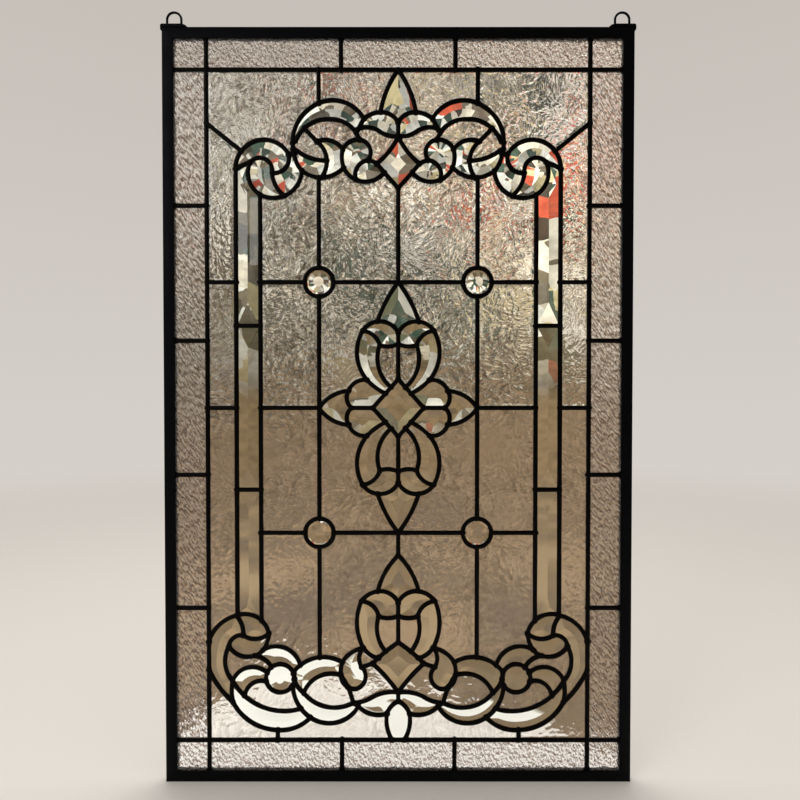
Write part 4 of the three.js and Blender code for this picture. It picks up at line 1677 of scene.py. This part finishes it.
@dataclass
class CameWork:
    """The came, an H section whose two leaves are domed, and the solder at its joints.

    Attributes:
        drawing: The drawing, with its joints found.
        material: The finish.
        dome_points: Points on a leaf's dome.
        straight_step: The longest stretch of a straight line.
        sharpest: The least cosine of half a bend that a mitre follows.
        pool_sides: Sides of a pool of solder.
        pool_rings: Its rings.
        pool_sink: How far its rim lies under the edge of the came's dome.
    """

    drawing: Drawing
    material: bpy.types.Material
    dome_points: int = 7
    straight_step: float = 30.0
    sharpest: float = 0.6
    pool_sides: int = 12
    pool_rings: int = 3
    pool_sink: float = 0.02

    def section(self) -> np.ndarray:
        """The H section as (across, depth) points: leaves cos t, sin t over a narrow heart.

        Returns:
            A closed outline, shape (n, 2).
        """
        s = self.drawing.sizes
        turn = np.linspace(0, math.pi, self.dome_points)
        front = np.stack([s.came_half * np.cos(turn), -s.came_leaf - s.came_crown * np.sin(turn)], 1)
        heart = np.array([[-s.came_heart, -s.came_leaf], [-s.came_heart, s.came_leaf]])
        back = -front
        return np.concatenate([front, heart, back, -heart])

    def sweep(self, line: np.ndarray, section: np.ndarray) -> Solid:
        """Carries the section along a line, mitred at its points: p + n across / cos(half the bend).

        The hand that stretched and dressed the lead left it uneven: its width varies with the run s as
        1 + 0.03 sin(s / 6.1 + a) + 0.02 sin(s / 2.7 + 2 a), from a start a of the line's own.

        Args:
            line: The came's middle line.
            section: The closed section.

        Returns:
            Points and faces.
        """
        closed = np.allclose(line[0], line[-1])
        if closed:
            line = line[:-1]
        else:
            line = np.concatenate([divided(line[:-1], line[1:], self.straight_step), line[-1:]])
        way = np.roll(line, -1, axis=0) - line
        if not closed:
            way[-1] = way[-2]
        way = unit(way)
        before = np.roll(way, 1, axis=0)
        if not closed:
            before[0] = way[0]
        mean = unit(way + before)
        bend = np.clip((mean * way).sum(1), self.sharpest, 1)
        normal = left_of(mean) / bend[:, None]
        run = np.concatenate([[0], np.cumsum(np.hypot(*np.diff(line, axis=0).T))])
        phase = line[0].sum()
        swell = 1 + 0.03 * np.sin(run / 6.1 + phase) + 0.02 * np.sin(run / 2.7 + 2 * phase)
        across = line[:, None] + normal[:, None] * section[None, :, 0:1] * swell[:, None, None]
        points = ring_points(across[..., 0], section[:, 1], across[..., 1])
        return points, tube_faces(len(line), len(section), closed)

    def pool(self) -> Solid:
        """A pool of solder about its own centre: a dome of radius and height 1, with y = sqrt(1 - r^2).

        Returns:
            Points and faces.
        """
        sides, rings = self.pool_sides, self.pool_rings
        turn = np.arange(sides) * 2 * math.pi / sides
        share = np.sin(np.arange(1, rings + 1) * math.pi / 2 / rings)
        points = [[0.0, 1.0, 0.0]]
        for r in share:
            points += [[r * math.cos(t), math.sqrt(max(0.0, 1 - r * r)), r * math.sin(t)] for t in turn]
        faces = [(0, 1 + i, 1 + (i + 1) % sides) for i in range(sides)]
        for ring in range(rings - 1):
            low, high = 1 + ring * sides, 1 + (ring + 1) * sides
            pairs = [(i, (i + 1) % sides) for i in range(sides)]
            faces += [(low + i, high + i, high + j, low + j) for i, j in pairs]
        faces.append(tuple(1 + (rings - 1) * sides + i for i in reversed(range(sides))))
        return np.array(points), faces

    def build(self) -> None:
        """Makes the came lattice and its solder."""
        s = self.drawing.sizes
        section = self.section()
        lattice = Shell()
        for line in self.drawing.lines:
            lattice.add(*self.sweep(line, section))
        new_piece("came", lattice.all_points(), lattice.faces, self.material, ("came_lattice",), 50.0)
        LOG.info("came: %d lines, %d faces", len(self.drawing.lines), len(lattice.faces))

        dome, faces = self.pool()
        turned = turned_over(faces)
        pools = Shell()
        # A pool is up to half as wide and as long again as the came, and stands a little higher than it
        for number, (x, z) in enumerate(self.drawing.joints):
            wide = s.came_half * (1.25 + 0.3 * float(scattered(number, 1, 3.0)))
            long = s.came_half * (1.25 + 0.3 * float(scattered(number, 2, 5.0)))
            high = s.came_crown + 0.1 + 0.2 * float(scattered(number, 3, 7.0))
            size = np.array([wide, high, long])
            for sign, shape in ((-1, faces), (1, turned)):
                centre = np.array([x, sign * (s.came_leaf - self.pool_sink), z])
                place = dome * size * np.array([1, sign, 1]) + centre
                pools.add(place, shape)
        new_piece("solder_joints", pools.all_points(), pools.faces, self.material, (), 60.0)
        LOG.info("solder: %d joints", len(self.drawing.joints))


@dataclass
class ChannelFrame:
    """The U-channel rails round the panel, mitred and soldered at the corners.

    Attributes:
        sizes: The panel's sizes.
        material: The finish.
        round_points: Points on a rounded edge.
        lip_round: The radius of the lips' edges.
        corner_gap: Half the gap between two rails at a mitre.
        stations: How many sections a rail has.
    """

    sizes: Sizes
    material: bpy.types.Material
    round_points: int = 4
    lip_round: float = 0.4
    corner_gap: float = 0.02
    stations: int = 9

    def section(self) -> np.ndarray:
        """The channel's section as (distance from the outer edge, depth) points, its outer edges rounded.

        Returns:
            A closed outline, shape (n, 2).
        """
        s = self.sizes
        depth, edge, wall, face = s.rail_half_depth, s.rail_edge, s.rail_wall, s.rail_face
        lip = self.lip_round
        turn = np.linspace(0, math.pi / 2, self.round_points)
        outer = np.stack([edge - edge * np.cos(turn), -depth + edge - edge * np.sin(turn)], 1)
        inner = np.stack([face - lip + lip * np.sin(turn), -depth + lip - lip * np.cos(turn)], 1)
        front = np.concatenate([outer, inner, [[face, wall - depth], [wall, wall - depth]]])
        return np.concatenate([front, (front * np.array([1, -1]))[::-1]])

    def rail(self, half: float, other: float, turn_quarters: int) -> Solid:
        """One rail: the section carried along an edge, each point stopping at the mitre.

        Args:
            half: Half the length of the rail's outer edge.
            other: The distance of that edge from the centre.
            turn_quarters: How many quarter turns take the rail from the bottom to its side.

        Returns:
            Points and faces.
        """
        section = self.section()
        shares = np.linspace(1, -1, self.stations)
        reach = half - section[:, 0] - self.corner_gap
        along = shares[:, None] * reach[None]
        away = np.broadcast_to(section[None, :, 0] - other, along.shape)
        quarter = turn_quarters * math.pi / 2
        x = along * math.cos(quarter) - away * math.sin(quarter)
        z = along * math.sin(quarter) + away * math.cos(quarter)
        return ring_points(x, section[:, 1], z), tube_faces(len(shares), len(section), False)

    def build(self) -> None:
        """Makes the four rails."""
        s = self.sizes
        for quarters, side, half, other in (
            (0, "bottom", s.half_width, s.half_height),
            (1, "right", s.half_height, s.half_width),
            (2, "top", s.half_width, s.half_height),
            (3, "left", s.half_height, s.half_width),
        ):
            points, faces = self.rail(half, other, quarters)
            new_piece(f"channel_{side}", points, faces, self.material, (f"frame_{side}",), 40.0)
        LOG.info("four rails")


@dataclass
class HangingLoops:
    """Two wire loops, each soldered to a folded cap on a top corner.

    Attributes:
        sizes: The panel's sizes.
        material: The finish.
        wire: The wire's thickness.
        spread: The distance between the middles of a loop's legs.
        rise: How far the loop's inside stands above the frame.
        inset: The distance of the loop's middle from the frame's side.
        cap_length: How far the cap reaches along the top.
        cap_slope: The length of its sloping end.
        cap_thick: How far it stands above the frame.
        cap_lip: The thickness of the lip over the frame's side.
        cap_drop: How far that lip comes down.
        cap_ease: The share of the depth that has the cap's full outline, and its faces' height and width as
            shares of that outline's.
        sink: How far the legs run into the cap.
        sides: Sides of the wire.
        arc_points: Points on the loop's half round.
        leg_points: Points on a leg.
    """

    sizes: Sizes
    material: bpy.types.Material
    wire: float = 2.6
    spread: float = 16.2
    rise: float = 17.0
    inset: float = 13.0
    cap_length: float = 29.0
    cap_slope: float = 6.0
    cap_thick: float = 3.3
    cap_lip: float = 1.4
    cap_drop: float = 2.5
    cap_ease: tuple[float, float, float] = (0.93, 0.97, 0.99)
    sink: float = 1.8
    sides: int = 16
    arc_points: int = 25
    leg_points: int = 4

    def wire_line(self) -> np.ndarray:
        """The wire's middle line: a leg, a half round of radius r and the other leg.

        Returns:
            Points in X and Z about the panel's centre, for the right loop.
        """
        s = self.sizes
        radius = self.spread / 2
        x = s.half_width - self.inset
        crown = s.half_height + self.rise + self.wire / 2
        foot = s.half_height + s.clearance + self.cap_thick - self.sink
        turn = np.linspace(math.pi, 0, self.arc_points)
        half_round = np.stack([x + radius * np.cos(turn), crown - radius + radius * np.sin(turn)], 1)
        legs = np.linspace(foot, crown - radius, self.leg_points + 1)[:-1]
        left = np.stack([np.full(self.leg_points, x - radius), legs], 1)
        right = np.stack([np.full(self.leg_points, x + radius), legs[::-1]], 1)
        return np.concatenate([left, half_round, right])

    def wire_shape(self) -> Solid:
        """The wire: a circle of its radius carried along its line."""
        line = self.wire_line()
        normal = left_of(unit(np.gradient(line, axis=0)))
        turn = -np.arange(self.sides) * 2 * math.pi / self.sides
        radius = self.wire / 2
        across = line[:, None] + normal[:, None] * (radius * np.cos(turn))[None, :, None]
        points = ring_points(across[..., 0], radius * np.sin(turn), across[..., 1])
        return points, tube_faces(len(line), self.sides, False)

    def cap_shape(self) -> Solid:
        """The cap: its outline as seen from the front, carried through the depth and smaller at both faces.

        The outline runs from the cap's inner end along its underside, round the lip that laps over the rail's
        outer side, and back over the top, which slopes down at the inner end.

        Returns:
            Points and faces.
        """
        s = self.sizes
        low = s.half_height + s.clearance
        top = low + self.cap_thick
        outside = s.half_width + s.clearance
        outline = np.array([
            [s.half_width - self.cap_length, low],
            [outside, low],
            [outside, s.half_height - self.cap_drop],
            [outside + self.cap_lip, s.half_height - self.cap_drop],
            [outside + self.cap_lip, top - self.cap_lip],
            [outside + 0.4 * self.cap_lip, top - 0.3 * self.cap_lip],
            [outside - 0.3 * self.cap_lip, top],
            [s.half_width - self.cap_length + self.cap_slope, top],
            [s.half_width - self.cap_length + 0.5 * self.cap_slope, top - 0.3 * self.cap_thick],
        ])
        middle = outline[:, 0].mean()
        inner, height, width = self.cap_ease
        rings = [
            np.stack([
                middle + (outline[:, 0] - middle) * wide,
                np.full(len(outline), share * s.rail_half_depth),
                low + (outline[:, 1] - low) * high,
            ], 1)
            for share, high, wide in (
                (1.0, height, width), (inner, 1.0, 1.0), (-inner, 1.0, 1.0), (-1.0, height, width))
        ]
        return np.concatenate(rings), tube_faces(len(rings), len(outline), False)

    def build(self) -> None:
        """Makes both loops."""
        for side, sign in (("right", 1), ("left", -1)):
            shell = Shell()
            for points, faces in (self.wire_shape(), self.cap_shape()):
                if sign < 0:
                    points, faces = points * np.array([-1, 1, 1]), turned_over(faces)
                shell.add(points, faces)
            new_piece(f"wire_loop_{side}", shell.all_points(), shell.faces, self.material,
                      (f"hanging_loop_{side}",), 40.0)
        LOG.info("two hanging loops")


# Studio


@dataclass
class Studio:
    """A pale floor, a soft warm surround, soft lights and the camera.

    Seen directly, floor and surround are plain. Clear glass shows only what it bends, so through it they have
    tones of their own: a pale part of the floor that ends at a corner, a tan part, and muted patches above.
    """

    sizes: Sizes
    camera_mm: tuple[float, float, float] = (2.05, -690.0, 20.1)
    camera_pitch: float = -0.016
    focal_px: float = 601.15
    image_px: float = 800.0
    sensor_mm: float = 36.0
    clip: tuple[float, float] = (0.02, 50.0)
    floor_radius: float = 4.5
    floor_sides: int = 96
    fade_from: float = 0.8
    fade_rim: float = 1.0
    pale: str = "#e6e3df"
    pale_corner: Point = (-0.19, 0.32)
    pale_slopes: Point = (-0.552, 2.27)
    pale_edge: float = 0.006
    pale_glow: float = 0.45
    stain_scale: float = 3.2
    patch_turn: tuple[float, float, float] = (0.12, 0.2, 0.3)
    patch_scale: tuple[float, float, float] = (14.0, 14.0, 22.0)
    mirrored_share: float = 0.3

    def camera(self) -> None:
        """Sets the camera where the photograph was taken from."""
        data = bpy.data.cameras.new("camera")
        data.sensor_width = self.sensor_mm
        data.lens = self.focal_px / self.image_px * self.sensor_mm
        data.clip_start, data.clip_end = self.clip
        camera = bpy.data.objects.new("camera", data)
        camera.location = Vector(PLACE) + Vector(self.camera_mm) * MM
        camera.rotation_euler = (math.pi / 2 + self.camera_pitch, 0, 0)
        bpy.context.scene.collection.objects.link(camera)
        bpy.context.scene.camera = camera

    def floor(self) -> None:
        """A round floor under the panel."""
        low = PLACE[2] - self.sizes.half_height * MM
        turn = np.linspace(0, 2 * math.pi, self.floor_sides + 1)[:-1]
        disc = np.stack([np.cos(turn), np.sin(turn), np.zeros_like(turn)], 1)
        ring = disc * self.floor_radius + np.array([0, 0, low])
        mesh = bpy.data.meshes.new("floor")
        mesh.from_pydata(ring.tolist(), [], [tuple(range(self.floor_sides))])
        mesh.materials.append(self.floor_paint())
        sheet = bpy.data.objects.new("floor", mesh)
        bpy.context.scene.collection.objects.link(sheet)

    def beyond_corner(self, tree: Tree, where: Socket) -> Socket:
        """Whether a place on the floor lies past either edge of the pale part, as a value from 0 to 1.

        An edge of slope m through the corner (cx, cy) is passed where y - m x + m cx - cy is above 0.
        """
        apart = add_node(tree, "ShaderNodeSeparateXYZ", inputs={"Vector": where})
        corner_x, corner_y = self.pale_corner
        beyond = []
        for slope in self.pale_slopes:
            steep = worked(tree, "MULTIPLY_ADD", apart.outputs["X"], -slope, slope * corner_x - corner_y)
            beyond.append(worked(tree, "ADD", steep, apart.outputs["Y"]))
        return ranged(tree, worked(tree, "MAXIMUM", *beyond), -self.pale_edge, self.pale_edge)

    def floor_paint(self) -> bpy.types.Material:
        """Pale matt paint that fades into the surround with distance. Through glass, part of it is tan."""
        material = bpy.data.materials.new("pale_floor")
        tree = new_tree(material)
        where = here(tree)
        through = add_node(tree, "ShaderNodeLightPath").outputs["Is Transmission Ray"]
        seen = worked(tree, "MULTIPLY", self.beyond_corner(tree, where), through)
        # Broad stains, so that facets which look at different places of the tan part differ
        stain = noise(tree, where, self.stain_scale, 2.0)
        ground = ramped(tree, stain, (0.36, "#6f5a40"), (0.5, "#8d7452"), (0.62, "#b0946e"))
        colour = blended(tree, seen, srgb(self.pale), ground)
        matt = add_node(tree, "ShaderNodeBsdfDiffuse", inputs={"Color": colour})
        # The pale part is a little brighter through glass than the lights make it
        glow = add_node(tree, "ShaderNodeEmission", inputs={
            "Color": colour,
            "Strength": worked(tree, "MULTIPLY", worked(tree, "SUBTRACT", through, seen), self.pale_glow)})
        paint = add_node(tree, "ShaderNodeAddShader", inputs={
            0: matt.outputs["BSDF"], 1: glow.outputs["Emission"]})
        clear = add_node(tree, "ShaderNodeBsdfTransparent")
        away = add_node(tree, "ShaderNodeVectorMath", {"operation": "LENGTH"}, {0: where})
        fade = add_node(tree, "ShaderNodeMapRange", {"interpolation_type": "SMOOTHSTEP"}, {
            "Value": away.outputs["Value"],
            "From Min": self.fade_from, "From Max": self.floor_radius - self.fade_rim})
        both = add_node(tree, "ShaderNodeMixShader", inputs={
            0: fade.outputs["Result"], 1: paint.outputs["Shader"], 2: clear.outputs["BSDF"]})
        add_node(tree, "ShaderNodeOutputMaterial", inputs={"Surface": both.outputs["Shader"]})
        return material

    def toned(self, tree: Tree, way: Socket, height: Socket) -> Socket:
        """The surround as the glass shows it: warm tones that rise with height, with muted patches over them.

        Args:
            tree: The world's node tree.
            way: The direction that is looked in.
            height: How high it points, from 0 to 1.

        Returns:
            The colour.
        """
        apart = add_node(tree, "ShaderNodeSeparateXYZ", inputs={"Vector": way})
        tone = ramped(
            tree, height, (0.0, "#94795a"), (0.19, "#8f7656"), (0.21, "#6f5c43"), (0.28, "#8a7b5c"),
            (0.42, "#c4b692"), (0.55, "#d9c9b4"), (0.75, "#dccbc4"), (0.9, "#f4ece6"))
        drawn = add_node(tree, "ShaderNodeMapping", inputs={
            "Vector": way, "Rotation": self.patch_turn, "Scale": self.patch_scale}).outputs["Vector"]
        patch = add_node(tree, "ShaderNodeTexVoronoi", {"distance": "CHEBYCHEV"}, {
            "Vector": drawn, "Scale": 1.0})
        pick = add_node(tree, "ShaderNodeSeparateColor", inputs={"Color": patch.outputs["Color"]})
        hue = ramped(
            tree, pick.outputs["Red"], (0.0, "#1c1510"), (0.12, "#16443a"), (0.22, "#e6d9c4"),
            (0.46, "#6e6150"), (0.59, "#c8482b"), (0.65, "#fff9ee"), (0.9, "#d2bf8e"), stepped=True)
        amount = ranged(tree, apart.outputs["Z"], -0.02, 0.17, 0.0, 0.92)
        # Brightness: broad clouds over the patches, fine specks over all of it, and darker to the left
        cloud = ranged(tree, noise(tree, drawn, 0.33, 1.0), 0.34, 0.66, 0.5, 1.8)
        glow = add_node(tree, "ShaderNodeMix", {"data_type": "FLOAT"}, {
            "Factor": amount, "A": 1.0, "B": cloud})
        speck = ranged(tree, noise(tree, drawn, 4.0, 2.0), 0.3, 0.7, 0.8, 1.2)
        sided = ranged(tree, apart.outputs["X"], -0.4, 0.4, 0.74, 1.12)
        level = worked(tree, "MULTIPLY", worked(tree, "MULTIPLY", glow.outputs["Result"], sided), speck)
        return add_node(tree, "ShaderNodeVectorMath", {"operation": "SCALE"}, {
            0: blended(tree, amount, tone, hue), "Scale": level}).outputs["Vector"]

    def surround(self) -> None:
        """The world: plain when seen directly, patched and toned when seen through the glass."""
        world = bpy.data.worlds.new("surround")
        tree = new_tree(world)
        path = add_node(tree, "ShaderNodeLightPath")
        through = path.outputs["Is Transmission Ray"]
        way = add_node(tree, "ShaderNodeTexCoord").outputs["Generated"]
        apart = add_node(tree, "ShaderNodeSeparateXYZ", inputs={"Vector": way})
        height = ranged(tree, apart.outputs["Z"], -0.2, 0.8)
        plain = ramped(tree, height, (0.0, "#d6d1ca"), (0.2, "#d3cec7"), (0.7, "#c6c0b9"))
        colour = blended(tree, through, plain, self.toned(tree, way, height))
        # Blackened metal mirrors less of the surround, so that it stays as dark as it is
        mirrored_only = worked(tree, "SUBTRACT", path.outputs["Is Glossy Ray"], through, clamp=True)
        dim = ranged(tree, mirrored_only, 0.0, 1.0, 1.0, self.mirrored_share)
        ground = add_node(tree, "ShaderNodeBackground", inputs={"Color": colour, "Strength": dim})
        add_node(tree, "ShaderNodeOutputWorld", inputs={"Surface": ground.outputs["Background"]})
        bpy.context.scene.world = world

    def light(
        self,
        name: str,
        place: tuple[float, float, float],
        aim: tuple[float, float, float],
        size: Point,
        watts: float,
        code: str,
    ) -> None:
        """A softbox.

        Args:
            name: Its name.
            place: Its place, in metres from the panel's centre.
            aim: What it points at, likewise.
            size: Its width and height.
            watts: Its power.
            code: Its colour.
        """
        data = bpy.data.lights.new(name, "AREA")
        data.shape = "RECTANGLE"
        data.size, data.size_y = size
        data.energy = watts
        data.color = srgb(code)[:3]
        light = bpy.data.objects.new(name, data)
        light.location = Vector(place) + Vector((0, 0, PLACE[2]))
        light.rotation_euler = (Vector(aim) - Vector(place)).to_track_quat("-Z", "Y").to_euler()
        bpy.context.scene.collection.objects.link(light)

    def build(self) -> None:
        """Sets up everything that isn't the panel."""
        bpy.context.scene.view_settings.view_transform = "Standard"
        self.camera()
        self.floor()
        self.surround()
        self.light("overhead", (0.0, 0.5, 1.9), (0.0, 0.1, -0.4), (1.8, 1.0), 22, "#fffdfa")
        self.light("front_left", (-1.3, -1.5, 1.0), (0.0, 0.0, 0.0), (0.9, 0.9), 9, "#ffffff")
        LOG.info("studio")


def main() -> None:
    """Builds the panel and its studio."""
    logging.basicConfig(level=logging.INFO, format="%(message)s")
    came = BlackedMetal("black_patina_came", "#060606", "#120f0d", (0.34, 0.52)).material()
    channel = BlackedMetal("black_channel", "#07080b", "#101115", (0.42, 0.6), mottle_mm=22.0).material()
    bevel = PolishedGlass("polished_bevel_glass", "#f6faf5", 1.52).material()
    jewel = PolishedGlass("faceted_jewel_glass", "#f8f8f2", 1.56).material()
    materials = {
        PaneKind.GRANITE: GraniteGlass("granite_glass", 0.3, 2.6, 4.0).material(),
        PaneKind.PULLED: GraniteGlass("granite_glass_pulled", 0.45, 2.3, 7.5).material(),
        PaneKind.FROST: GlueChipGlass().material(),
        PaneKind.BEVEL: bevel,
        PaneKind.STRIP: bevel,
    }
    Studio(SIZES).build()
    drawing = Drawing(SIZES)
    drawing.build()
    counts = len(drawing.lines), len(drawing.panes), len(drawing.joints)
    LOG.info("drawing: %d lines, %d panes, %d joints", *counts)
    Glazing(drawing, materials).build()
    Jewels(SIZES, jewel).build()
    CameWork(drawing, came).build()
    ChannelFrame(SIZES, channel).build()
    HangingLoops(SIZES, channel).build()


if __name__ == "__main__":
    main()
